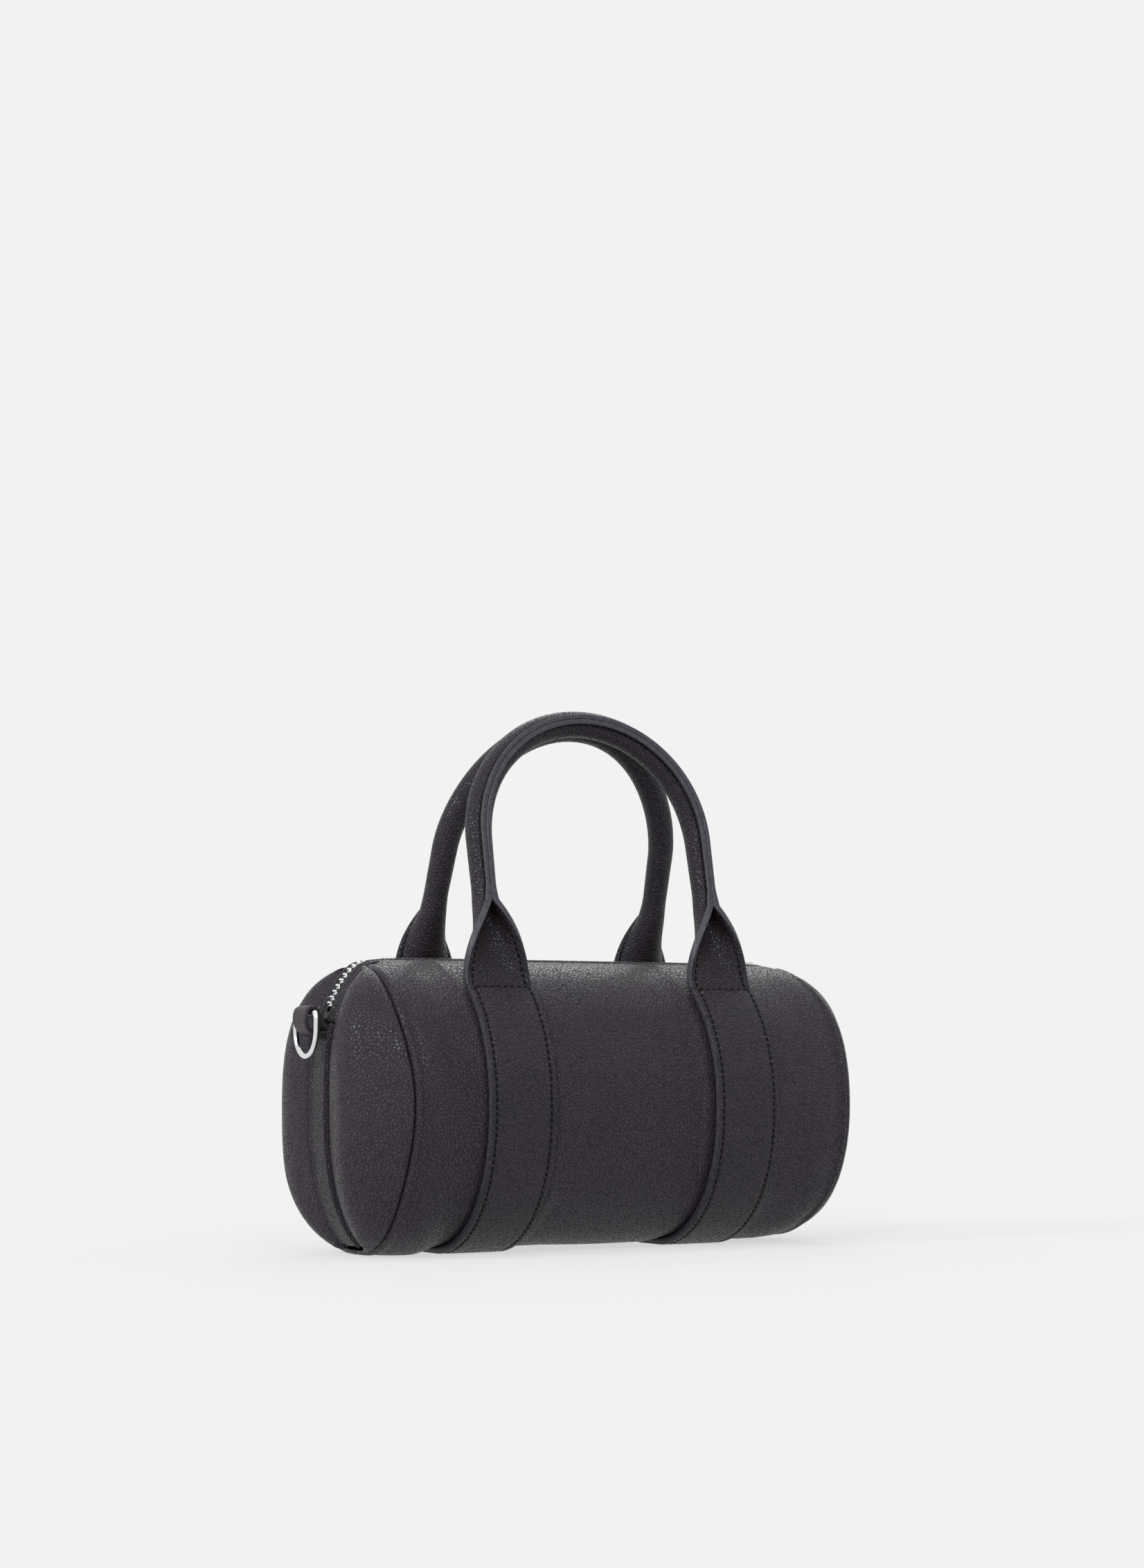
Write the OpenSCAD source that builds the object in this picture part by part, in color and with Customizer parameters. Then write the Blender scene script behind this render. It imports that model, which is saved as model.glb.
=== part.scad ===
// Barrel handbag with two rolled top handles, a metal zip and a ring at each end.
// X runs along the bag, -Y is its front, +Z is up, and the straps rest on z = 0.

/* [Body] */
// Height of the body, without straps and handles
body_height = 132; // [110:1:160]
// Depth of the body from front to back
body_depth = 123; // [105:1:150]
// Distance between the two end seams
seam_span = 226; // [200:1:300]
// How far the end seams are drawn in at mid height
seam_dip = 2.4; // [0:0.1:5]
// How far the middle of an end stands out past its seam
end_bulge = 19; // [12:0.5:26]
// Where the zip line starts to turn down, before the seam
end_turn = 12; // [8:0.5:18]
// Extra swell of each end panel between the strip and the seam
end_puff = 8.6; // [2:0.5:10]
// How far the body rounds down at its end seams, top and bottom
shoulder_drop = 2.4; // [1.5:0.1:5]
// How far the body rounds in at its end seams, front and back
shoulder_in = 1.5; // [0.5:0.1:3]
// Length of that rounding
shoulder_length = 12; // [8:0.5:20]
// Fullness of the lower half of the section, 2 being an ellipse
lower_fullness = 2.2; // [2:0.05:2.5]
// Thickness of the backed leather
leather = 1.8; // [1.2:0.1:2.4]
// Gap left where two pieces are sewn edge to edge
seam_gap = 0.15; // [0.1:0.05:0.3]
// Thickness of the lining cloth with its padding
lining_thickness = 0.8; // [0.5:0.1:1.2]
// Gap between the leather and the lining
lining_gap = 0.6; // [0.4:0.05:0.8]

/* [Base board] */
// Length of the stiffening board
board_length = 190; // [150:1:196]
// Width of the board
board_width = 46; // [30:1:50]
// Thickness of the board
board_thickness = 2.2; // [1.5:0.1:3]
// Radius of its corners
board_corner = 12; // [4:0.5:14]

/* [Straps] */
// Width of a strap
strap_width = 33.4; // [26:0.2:38]
// Thickness of a strap
strap_thickness = 3.6; // [2.8:0.1:4.2]
// Distance between the middles of the two straps
strap_spread = 118.8; // [100:1:126]
// Gap between a strap and the body
strap_gap = 0.3; // [0.3:0.05:0.6]
// Angle round the section, above mid height, where strap and handle part
hinge_angle = 49.5; // [44:0.5:54]
// Chamfer of the painted edges
edge_chamfer = 0.9; // [0.5:0.1:1.2]
// How much is pressed flat under the bag
rest_flat = 0.7; // [0.5:0.1:1.2]

/* [Handles] */
// Distance between the two legs of a handle
handle_spread = 119.6; // [114:0.2:130]
// Rise of the handle from the strap to its highest point
handle_rise = 131.5; // [115:0.5:140]
// Distance between the middles of the two arches at the top
handle_apart = 14.8; // [14:0.2:30]
// How far a leg bows towards the other handle
handle_bow = 3.8; // [0:0.1:7]
// Height within which the bow takes its shape
bow_height = 22; // [16:0.5:30]
// How far the top of the rear handle hangs to one side
rear_sway = 7; // [0:0.5:8]
// Diameter of the rolled part
handle_diameter = 11.6; // [9:0.2:12.4]
// Thickness of the leather in the rolled part
handle_wall = 2.2; // [1.8:0.1:2.4]
// Height of the stitched flange along the rolled part
handle_flange = 2.6; // [2.2:0.1:3.4]
// Height at which the strap's two edges have met
fold_end = 39.5; // [34:0.5:52]
// Gap between the leather and the cord inside
core_gap = 0.7; // [0.6:0.05:1]
// Gap between a handle and the strap below it
hinge_gap = 0.3; // [0.3:0.05:0.6]

/* [Zip] */
// Width of the strip that holds the zip and runs down each end
strip_width = 21.3; // [20:0.1:23]
// Width left open between the leather edges beside the zip
zip_opening = 15; // [14:0.1:16]
// Depth of the zip tape below the leather
zip_depth = 2.2; // [2:0.1:2.8]
// Thickness of the woven tape
tape_thickness = 0.6; // [0.4:0.05:0.8]
// Distance from tooth to tooth on one side
tooth_pitch = 2.6; // [2.5:0.05:3.2]
// Thickness of a tooth along the chain
tooth_thickness = 1.2; // [1:0.05:1.2]
// Distance from the middle of the chain to the back of a tooth
tooth_reach = 3; // [2.8:0.05:3.2]
// Height of a tooth
tooth_height = 2.5; // [2.2:0.05:2.6]
// Running channel in the middle of the chain
chain_gap = 1.1; // [1:0.05:1.2]
// How far the jaws of a tooth hold the tape
jaw_depth = 1; // [0.8:0.05:1.2]
// Gap between a jaw and the tape
jaw_gap = 0.14; // [0.1:0.01:0.16]
// Length of the slider
slider_length = 9.5; // [8:0.1:11]
// Thickness of the slider's plates
slider_plate = 1.1; // [0.9:0.05:1.3]
// Thickness of the slider's side walls
slider_wall = 0.9; // [0.7:0.05:1.1]
// Gap between the slider and the chain
slider_gap = 0.3; // [0.3:0.02:0.4]
// Height of the arch that carries the pull
arch_height = 3.2; // [3:0.1:3.6]
// Thickness of that arch
arch_thickness = 1; // [0.8:0.05:1.1]
// Where the slider is parked, from the middle of the bag
slider_park = 80; // [70:1:84]
// Length of the zip pull
pull_length = 24; // [18:0.5:26]
// Width of the pull
pull_width = 6.4; // [6:0.1:7]
// Thickness of the pull
pull_thickness = 1.2; // [1:0.05:1.3]
// Angle at which the parked pull points down to the chain
pull_droop = 2; // [0:0.5:3]

/* [End rings] */
// Diameter of the ring's wire
ring_wire = 2.6; // [2:0.1:2.6]
// Width of the ring across its outside
ring_width = 26; // [22:0.5:27]
// Height of the ring from its bar to its lowest wire
ring_drop = 19.4; // [18:0.5:22]
// Radius of the ring's two upper corners
ring_corner = 3; // [2.5:0.1:3.5]
// Width of the leather tab that holds the ring
tab_width = 15; // [12:0.5:15.5]
// Thickness of the tab leather round the ring's bar
tab_leather = 2; // [1.4:0.1:2]
// How far the ring's bar stands out from the middle of the end
tab_reach = 5.4; // [2.6:0.1:6]
// Height of the ring's bar above the middle of the body
tab_height = 40.5; // [38:0.5:42]
// Height of the tab where it meets the end
tab_root = 8; // [7:0.5:9]
// Drop from the ring's bar to the middle of the tab's root
tab_drop = 7.5; // [6:0.5:8]
// Gap between the wire and the leather round it
ring_gap = 0.3; // [0.2:0.05:0.5]

/* [Hidden] */

// Body sizes that the rest follows
half_h = body_height / 2;
half_d = body_depth / 2;
seam_half_h = half_h - shoulder_drop;
seam_half_d = half_d - shoulder_in;
mid_z = half_h + strap_gap + strap_thickness - rest_flat;
turn_x = seam_span / 2 - end_turn;
turn_reach = end_turn + end_bulge;
strip_half = strip_width / 2;
// Angles on the end strip, from mid height: its top under the tab and its foot
root_height = tab_height - tab_drop;
strip_top_angle = asin((root_height + tab_root / 2) / half_h);
strip_foot_angle = -65.5;
binding_end_gap = 4 * seam_gap;
// Leaf panels stop where they are still a little wider than a stitch
leaf_share = 0.976;
puff_skew = 1.25;
wall_turn = 3;

// Steps of the curved pieces
panel_rows = 20;
shoulder_shares = [0, 0.3, 0.6, 0.85, 1];
leaf_rows = 18;
leaf_columns = 7;
strip_rows = 22;
turn_steps = 20;
strap_steps = 40;
fine = 32;

function power(s) = s < 0 ? lower_fullness : 2;
function swell(c, s) = sign(c) * pow(abs(c), 2 / power(s));
function mix(a, b, share) = a + (b - a) * share;
function unit(v) = v / norm(v);

// Point of the body's section at angle a, pushed out by off
function section(a, off) =
    [-(half_d + off) * swell(cos(a), sin(a)), (half_h + off) * swell(sin(a), sin(a))];

// End seam: x at height z above mid height
function seam_x(z) = seam_span / 2 - seam_dip * (1 - pow(z / seam_half_h, 2));

// Rounding of the body towards a seam: 0 along the bag, 1 at the seam
function shoulder(x) =
    let (t = max(0, (abs(x) - (seam_span / 2 - shoulder_length)) / shoulder_length))
    1 - sqrt(max(0, 1 - t * t));

// Ellipsoid that the end strips lie on: x at (y, z)
function end_x(y, z) =
    turn_x + turn_reach * sqrt(max(0, 1 - pow(y / half_d, 2) - pow(z / half_h, 2)));

// Closed sheet between two grids of points, the first on its outside
module sheet(outer, inner) {
    rows = len(outer);
    cols = len(outer[0]);
    all_points = concat([for (r = outer) each r], [for (r = inner) each r]);
    lower = rows * cols;
    function at(i, j) = i * cols + j;
    polyhedron(all_points, concat(
        [for (i = [0 : rows - 2], j = [0 : cols - 2]) each
            [[at(i, j), at(i + 1, j), at(i + 1, j + 1)],
             [at(i, j), at(i + 1, j + 1), at(i, j + 1)],
             [lower + at(i, j), lower + at(i + 1, j + 1), lower + at(i + 1, j)],
             [lower + at(i, j), lower + at(i, j + 1), lower + at(i + 1, j + 1)]]],
        [for (i = [0 : rows - 2]) each
            [[at(i, 0), lower + at(i, 0), lower + at(i + 1, 0)],
             [at(i, 0), lower + at(i + 1, 0), at(i + 1, 0)],
             [at(i, cols - 1), lower + at(i + 1, cols - 1), lower + at(i, cols - 1)],
             [at(i, cols - 1), at(i + 1, cols - 1), lower + at(i + 1, cols - 1)]]],
        [for (j = [0 : cols - 2]) each
            [[at(0, j), lower + at(0, j + 1), lower + at(0, j)],
             [at(0, j), at(0, j + 1), lower + at(0, j + 1)],
             [at(rows - 1, j), lower + at(rows - 1, j), lower + at(rows - 1, j + 1)],
             [at(rows - 1, j), lower + at(rows - 1, j + 1), at(rows - 1, j + 1)]]]),
        convexity = 6);
}

// Solid swept through rings of points. Each end is closed by a ladder of
// triangles between the two halves of its ring
module sweep(rings) {
    n = len(rings[0]);
    last = len(rings) - 1;
    polyhedron([for (r = rings) each r], concat(
        [for (i = [0 : last - 1], j = [0 : n - 1]) each
            let (k = (j + 1) % n)
            [[i * n + j, (i + 1) * n + k, (i + 1) * n + j],
             [i * n + j, i * n + k, (i + 1) * n + k]]],
        [for (e = [0, last], j = [0 : n / 2 - 2]) each
            let (a = e * n + j, b = e * n + n - 1 - j)
            [for (f = [[a, b - 1, a + 1], [a, b, b - 1]]) e == 0 ? f : [f[2], f[1], f[0]]]]),
        convexity = 8);
}

// Main panel

// Point of the front panel: x share u, height share v, off below the surface
function panel_point(u, v, off) =
    let (g = shoulder(u * seam_span / 2),
         hy = half_d - shoulder_in * g - off,
         hz = half_h - shoulder_drop * g - off,
         top = acos((strip_half + seam_gap) / hy),
         low = -acos(pow(seam_gap / 2 / hy, lower_fullness / 2)),
         a = mix(low, top, v),
         zs = swell(sin(a), sin(a)))
    [u * seam_x(zs * seam_half_h), -hy * swell(cos(a), sin(a)), mid_z + hz * zs];

module main_panel() {
    k = shoulder_length / (seam_span / 2);
    ends = [for (s = shoulder_shares) 1 - k * (1 - s)];
    us = concat([for (i = [len(ends) - 1 : -1 : 0]) ends[i]], [for (e = ends) -e]);
    function grid(off) =
        [for (u = us) [for (j = [0 : panel_rows]) panel_point(u, j / panel_rows, off)]];
    sheet(grid(0), grid(leather));
}

module front_panel() {
    color("#38343a") main_panel();
}

module back_panel() {
    color("#38343a") mirror([0, 1, 0]) main_panel();
}

// End panels

// Point of the left front end panel: height share v from -1 to 1, share w from
// the strip to the seam, off below the surface
function leaf_point(v, w, off) =
    let (z = v * leaf_share * seam_half_h,
         n = power(z),
         y0 = strip_half + seam_gap,
         y1 = seam_half_d * pow(1 - pow(abs(z / seam_half_h), n), 1 / n),
         y = mix(y0, y1, w),
         seam = seam_x(z) + seam_gap,
         x = mix(max(end_x(y0, z), seam), seam, w * w)
             + end_puff * sin(180 * pow(w, puff_skew)) * sqrt(1 - pow(v, 4)),
         turn = 90 * pow(w, wall_turn),
         out = unit([y / half_d, z / half_h]))
    [-(x - off * cos(turn)), -(y - off * sin(turn) * out[0]),
     mid_z + z - off * sin(turn) * out[1]];

module end_panel() {
    function grid(off) =
        [for (i = [0 : leaf_rows])
            [for (j = [0 : leaf_columns])
                leaf_point(sin(90 * (2 * i / leaf_rows - 1)), j / leaf_columns, off)]];
    color("#3f3c42") sheet(grid(0), grid(leather));
}

module left_front_end_panel() {
    end_panel();
}

module left_rear_end_panel() {
    mirror([0, 1, 0]) end_panel();
}

module right_front_end_panel() {
    mirror([1, 0, 0]) end_panel();
}

module right_rear_end_panel() {
    mirror([1, 0, 0]) mirror([0, 1, 0]) end_panel();
}

// End strips and zip bindings

// Point of the line that runs along the top and down both ends. p runs from -2
// to 2: within 1 it is straight, and beyond it turns down to the angle low
function top_point(p, y, off, low) =
    let (k = sqrt(1 - pow(y / half_d, 2)),
         a = 90 - (90 - low) * max(0, abs(p) - 1))
    abs(p) <= 1 ? [p * turn_x, y, mid_z + (half_h - off) * k]
    : [sign(p) * (turn_x + (turn_reach - off) * k * cos(a)), y,
       mid_z + (half_h - off) * k * sin(a)];

module end_strip() {
    edge = strip_half - seam_gap;
    function point(a, y, off) =
        let (k = sqrt(1 - pow(y / half_d, 2)))
        [-(turn_x + (turn_reach - off) * k * cos(a)), y, mid_z + (half_h - off) * k * sin(a)];
    function grid(off) =
        [for (i = [0 : strip_rows])
            [for (j = [-1 : 1])
                point(mix(strip_foot_angle, strip_top_angle, i / strip_rows), -j * edge, off)]];
    color("#3c393f") sheet(grid(0), grid(leather));
}

module left_end_strip() {
    end_strip();
}

module right_end_strip() {
    mirror([1, 0, 0]) end_strip();
}

// Band along the top line, from y0 to y1 and from depth d0 to depth d1
module top_band(y0, y1, d0, d1, low) {
    ps = concat([for (i = [turn_steps : -1 : 0]) 1 + i / turn_steps],
                [for (i = [0 : turn_steps]) -1 - i / turn_steps]);
    function grid(off) = [for (p = ps) [top_point(p, y0, off, low), top_point(p, y1, off, low)]];
    sheet(grid(d0), grid(d1));
}

binding_low = strip_top_angle + asin(binding_end_gap / half_h);

module front_zip_binding() {
    color("#2f2c31")
        top_band(-strip_half + seam_gap, -zip_opening / 2, 0, zip_depth - tape_thickness / 2
                 - seam_gap, binding_low);
}

module rear_zip_binding() {
    mirror([0, 1, 0]) front_zip_binding();
}

module front_zip_tape() {
    color("#19181a")
        top_band(-strip_half + seam_gap, -(tooth_reach - jaw_depth), zip_depth - tape_thickness / 2,
                 zip_depth + tape_thickness / 2, binding_low);
}

module rear_zip_tape() {
    mirror([0, 1, 0]) front_zip_tape();
}

// Zip chain

// Length along the turned end of the chain, summed in small steps of angle
chain_h = half_h - zip_depth;
chain_r = turn_reach - zip_depth;
arc_step = 1;
tape_end_angle = 2;
arc_low = binding_low + tape_end_angle;
function arc_len(a) = norm([chain_r * sin(a), chain_h * cos(a)]) * arc_step * PI / 180;
function arc_table(a, s) =
    a < arc_low ? [[s, a]] : concat([[s, a]], arc_table(a - arc_step, s + arc_len(a)));
chain_table = arc_table(90, 0);
chain_half = turn_x + chain_table[len(chain_table) - 1][0];

// Moves its children to the length s along the chain, square to it
module on_chain(s) {
    side = sign(s);
    a = lookup(max(0, abs(s) - turn_x), chain_table);
    tilt = atan2(chain_h * cos(a), chain_r * sin(a));
    if (abs(s) <= turn_x)
        translate([s, 0, mid_z + chain_h]) children();
    else
        translate([side * (turn_x + chain_r * cos(a)), 0, mid_z + chain_h * sin(a)])
            rotate([0, side * tilt, 0]) children();
}

// One tooth on the front side: a blunt nose and two jaws that hold the tape
module tooth() {
    nose = chain_gap / 2;
    top = tooth_height / 2;
    tip = 0.64 * top;
    slot = tape_thickness / 2 + jaw_gap;
    root = tooth_reach - jaw_depth - jaw_gap;
    rotate([90, 0, 90]) translate([0, 0, -tooth_thickness / 2])
        linear_extrude(tooth_thickness)
            polygon([[-nose, -tip], [-nose, tip], [-tooth_reach, top], [-tooth_reach, slot],
                     [-root, slot], [-root, -slot], [-tooth_reach, -slot], [-tooth_reach, -top]]);
}

stop_length = 1.5 * tooth_pitch;
tooth_shift = 0.25;
last_tooth = chain_half - stop_length - slider_gap - tooth_thickness / 2;

// Row of teeth, shifted along the chain by a share of their pitch
module teeth(shift) {
    count = floor(last_tooth / tooth_pitch + tooth_shift);
    color("#d8d8da")
        for (i = [-count : count - 1])
            on_chain((i + shift) * tooth_pitch) tooth();
}

module front_zip_teeth() {
    teeth(tooth_shift);
}

module rear_zip_teeth() {
    mirror([0, 1, 0]) teeth(1 - tooth_shift);
}

// Stop at the end of the chain, crimped over both tapes
module zip_stop() {
    stop_width = 2 * tooth_reach;
    slot = tape_thickness + 2 * jaw_gap;
    color("#d8d8da")
        on_chain(stop_length / 2 - chain_half)
            difference() {
                cube([stop_length, stop_width, tooth_height], center = true);
                for (side = [-1, 1])
                    translate([0, side * (tooth_reach - jaw_depth + stop_width / 2 - jaw_gap), 0])
                        cube([2 * stop_length, stop_width, slot], center = true);
            }
}

module left_zip_stop() {
    zip_stop();
}

module right_zip_stop() {
    mirror([1, 0, 0]) zip_stop();
}

// Zip slider and its pull

slider_half = tooth_reach + slider_gap + slider_wall;
slider_inside = tooth_height / 2 + slider_gap;
slider_top = slider_inside + slider_plate;
slider_nose = 0.78;
post_thickness = chain_gap - 2 * slider_gap;
arch_length = 0.62 * slider_length;
arch_width = 0.3 * pull_width;
bar_radius = pull_thickness / 2;
chain_z = mid_z + chain_h;
pivot_z = chain_z + slider_top + (arch_height - arch_thickness) / 2;

// Outline of the slider's plates: full width at the mouth, narrower at the tail
module slider_outline() {
    back = slider_length / 2;
    polygon([[-back, -slider_nose * slider_half], [-back / 2, -slider_half],
             [back * 0.7, -slider_half], [back, -0.8 * slider_half], [back, 0.8 * slider_half],
             [back * 0.7, slider_half], [-back / 2, slider_half],
             [-back, slider_nose * slider_half]]);
}

module slider_shell() {
    tape_room = tape_thickness / 2 + 1.5 * slider_gap;
    for (side = [0, 1])
        mirror([0, 0, side]) {
            translate([0, 0, slider_inside]) linear_extrude(slider_plate) slider_outline();
            translate([0, 0, tape_room]) linear_extrude(slider_inside - tape_room + slider_plate / 2)
                difference() {
                    slider_outline();
                    square([2 * slider_length, 2 * (tooth_reach + slider_gap)], center = true);
                }
        }
    cube([slider_length / 3, post_thickness, 2 * slider_inside + slider_plate], center = true);
}

// Arch on the top plate that the pull's bar runs in
module slider_arch() {
    inner_h = arch_height - arch_thickness;
    rotate([90, 0, 0]) translate([0, 0, -arch_width / 2])
        linear_extrude(arch_width)
            difference() {
                polygon([[-arch_length / 2, -slider_plate / 2],
                         [-arch_length / 2, arch_height - arch_thickness],
                         [-arch_length / 2 + arch_thickness, arch_height],
                         [arch_length / 2 - arch_thickness, arch_height],
                         [arch_length / 2, arch_height - arch_thickness],
                         [arch_length / 2, -slider_plate / 2]]);
                translate([-arch_length / 2 + arch_thickness, 0])
                    square([arch_length - 2 * arch_thickness, inner_h]);
            }
}

module zip_slider() {
    color("#cfcfd2")
        translate([slider_park, 0, chain_z]) {
            slider_shell();
            translate([0, 0, slider_top]) slider_arch();
        }
}

// Flat pull with a window round the arch and a hole near its tip
module zip_pull() {
    half_w = pull_width / 2;
    window_w = arch_width + 4 * slider_gap;
    window_l = arch_length / 2 + arch_height;
    tip_r = 0.8 * half_w;
    color("#cfcfd2")
        translate([slider_park, 0, pivot_z]) rotate([0, pull_droop, 0]) {
            translate([0, 0, -pull_thickness / 2]) linear_extrude(pull_thickness)
                difference() {
                    union() {
                        translate([0, -half_w]) square([window_l, pull_width]);
                        polygon([[window_l, -half_w], [pull_length - tip_r, -tip_r],
                                 [pull_length - tip_r, tip_r], [window_l, half_w]]);
                        translate([pull_length - tip_r, 0]) circle(r = tip_r, $fn = fine);
                    }
                    translate([0, -window_w / 2])
                        square([window_l - bar_radius, window_w]);
                    translate([pull_length - tip_r, 0]) circle(r = tip_r / 2, $fn = fine);
                }
            rotate([90, 0, 0]) cylinder(h = pull_width, r = bar_radius, center = true, $fn = fine);
        }
}

// End rings and their tabs

ring_x = turn_x + turn_reach + tab_reach;
ring_z = mid_z + tab_height;
wire_r = ring_wire / 2;
ring_half = ring_width / 2 - wire_r;

// Tab: a loop round the ring's bar, closing to a stitched root on the end strip
module ring_tab() {
    loop_r = wire_r + ring_gap + tab_leather;
    root_steps = 6;
    reach = ring_x - turn_x;
    function root_x(z) = turn_reach * sqrt(1 - pow(z / half_h, 2)) + seam_gap;
    root = [for (i = [0 : root_steps])
                let (z = root_height + tab_root * (0.5 - i / root_steps))
                [root_x(z), z - tab_height]];
    color("#343137")
        translate([-turn_x, tab_width / 2, ring_z]) mirror([1, 0, 0]) rotate([90, 0, 0])
            linear_extrude(tab_width)
                difference() {
                    union() {
                        translate([reach, 0]) circle(r = loop_r, $fn = 2 * fine);
                        polygon(concat(root, [[reach, -loop_r], [reach, loop_r]]));
                    }
                    translate([reach, 0]) circle(r = wire_r + ring_gap, $fn = fine);
                }
}

module left_ring_tab() {
    ring_tab();
}

module right_ring_tab() {
    mirror([1, 0, 0]) ring_tab();
}

// Ring: a straight bar, two tight corners, two arms and a round foot
module end_ring() {
    straight = ring_drop - ring_half;
    color("#e2e2e4")
        translate([-ring_x, 0, ring_z]) rotate([90, 0, -90]) {
            rotate([0, 90, 0])
                cylinder(h = 2 * (ring_half - ring_corner), r = wire_r, center = true, $fn = fine);
            for (side = [0, 1]) mirror([side, 0, 0]) {
                translate([ring_half - ring_corner, -ring_corner, 0])
                    rotate_extrude(angle = 90, $fn = 2 * fine)
                        translate([ring_corner, 0]) circle(r = wire_r, $fn = fine);
                translate([ring_half, -ring_corner, 0]) rotate([90, 0, 0])
                    cylinder(h = straight - ring_corner, r = wire_r, $fn = fine);
            }
            translate([0, -straight, 0]) rotate([0, 0, 180])
                rotate_extrude(angle = 180, $fn = 3 * fine)
                    translate([ring_half, 0]) circle(r = wire_r, $fn = fine);
        }
}

module left_ring() {
    end_ring();
}

module right_ring() {
    mirror([1, 0, 0]) end_ring();
}

// Straps

// Section of a strap: a flat band with chamfered edges, x across and out from
// the body
function strap_section() =
    let (w = strap_width / 2, t = strap_thickness, c = edge_chamfer)
    [[-w + c, 0], [-w, c], [-w, t - c], [-w + c, t], [w - c, t], [w, t - c], [w, c], [w - c, 0]];

module strap() {
    rings = [for (i = [0 : strap_steps])
        let (a = mix(hinge_angle, -180 - hinge_angle, i / strap_steps))
        [for (q = strap_section())
            let (p = section(a, strap_gap + q[1]))
            [q[0], p[0], max(0, mid_z + p[1])]]];
    color("#332f34") sweep(rings);
}

module left_strap() {
    translate([-strap_spread / 2, 0, 0]) strap();
}

module right_strap() {
    translate([strap_spread / 2, 0, 0]) strap();
}

// Handles

hinge_point = section(hinge_angle, strap_gap + strap_thickness);
hinge_y = hinge_point[0];
hinge_z = mid_z + hinge_point[1];
handle_r = handle_diameter / 2;
arch_r = handle_spread / 2;
arch_h = handle_rise - arch_r;
roll_r = handle_r - handle_wall / 2;
roll_steps = 4;
leg_top = 1.25 * fold_end;
thin_share = 0.75;
// The arches clear each other at the top, whatever the body's depth
handle_lean = asin((-hinge_y - handle_apart / 2) / handle_rise);

function ease(t) = let (c = min(1, max(0, t))) c * c * (3 - 2 * c);
function fold_at(h) = min(1, h / fold_end);
function wall_at(h) =
    mix(strap_thickness, handle_wall, ease((h / leg_top - thin_share) / (1 - thin_share)));

// Half of the folded strap's middle line, from its back out to its edge. At fold
// 0 it is flat and as wide as the strap, and at 1 it is a roll with a flange
function half_line(fold, wall) =
    let (roll_angle = 180 - asin(wall / 2 / roll_r),
         roll_half = roll_r * roll_angle * PI / 180,
         half = mix(strap_width / 2, roll_half + handle_flange, fold),
         arc = half - handle_flange,
         ds = arc / roll_steps,
         da = roll_angle * fold / roll_steps,
         turned = roll_angle * fold - 90 * fold,
         run = [for (i = 0, p = [0, 0]; i <= roll_steps;
                     p = p + ds * [cos((i + 0.5) * da), sin((i + 0.5) * da)], i = i + 1) p])
    concat(run, [run[roll_steps] + handle_flange * [cos(turned), sin(turned)]]);

// Line offset sideways by d, with mitred corners
function offset_line(line, d) =
    let (last = len(line) - 1)
    [for (i = [0 : last])
        let (t0 = unit(line[max(i, 1)] - line[max(i, 1) - 1]),
             t1 = unit(line[min(i, last - 1) + 1] - line[min(i, last - 1)]),
             n0 = [-t0[1], t0[0]],
             n1 = [-t1[1], t1[0]],
             m = n0 + n1)
        line[i] + 2 * d / (m * m) * m];

// Closed section of the folded strap: x across, y outwards, its back at -roll_r
function fold_section(fold, wall) =
    let (half = half_line(fold, wall),
         n = len(half) - 1,
         line = concat([for (i = [n : -1 : 1]) [-half[i][0], half[i][1]]], half),
         back = mix(-strap_thickness / 2, -roll_r, fold),
         outer = offset_line(line, -wall / 2),
         inner = offset_line(line, wall / 2))
    [for (q = concat(outer, [for (i = [len(inner) - 1 : -1 : 0]) inner[i]])) q + [0, back]];

// Heights of the section rings up one leg, and angles over the arch
leg_shares = [0, 0.1, 0.2, 0.3, 0.4, 0.5, 0.6, 0.72, 0.86, 1];
arch_steps = 20;

arch_line = [for (i = [0 : arch_steps])
    let (a = 180 * (1 - i / arch_steps))
    [arch_r * cos(a), arch_h + arch_r * sin(a), a - 90]];

// Handle's middle line in its own plane: [x, height, angle of travel]
handle_line = concat(
    [for (s = leg_shares)
        let (h = mix(hinge_gap, leg_top, s))
        [-mix(strap_spread, handle_spread, ease(h / leg_top)) / 2, h, 90]],
    arch_line,
    [for (i = [len(leg_shares) - 1 : -1 : 0])
        let (h = mix(hinge_gap, leg_top, leg_shares[i]))
        [mix(strap_spread, handle_spread, ease(h / leg_top)) / 2, h, -90]]);

// Point at [across, out] of a section on the handle's line, in the frame. The
// handle leans and bows towards the other one, and its top may hang to one side
function handle_point(p, q, sway) =
    let (h = p[1] - q[0] * cos(p[2]),
         out = q[1] - handle_bow * (1 - exp(-h / bow_height)) * (1 - h / handle_rise))
    [p[0] + q[0] * sin(p[2]) + sway * h / handle_rise,
     hinge_y + h * sin(handle_lean) - out * cos(handle_lean),
     hinge_z + h * cos(handle_lean) + out * sin(handle_lean)];

module handle_leather(sway) {
    color("#302d31")
        sweep([for (p = handle_line)
            [for (q = fold_section(fold_at(p[1]), wall_at(p[1]))) handle_point(p, q, sway)]]);
}

module front_handle() {
    handle_leather(0);
}

module rear_handle() {
    mirror([0, 1, 0]) handle_leather(rear_sway);
}

// Cord that fills the roll, from one fold over the arch to the other
cord_sides = 12;

module handle_cord(sway) {
    cord_r = handle_r - handle_wall - core_gap;
    line = concat([[-arch_r, leg_top, 90]], arch_line, [[arch_r, leg_top, -90]]);
    color("#8a8378")
        sweep([for (p = line)
            [for (i = [0 : cord_sides - 1])
                let (a = 360 * (i + 0.5) / cord_sides)
                handle_point(p, cord_r * [cos(a), sin(a)], sway)]]);
}

module front_handle_cord() {
    handle_cord(0);
}

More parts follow.
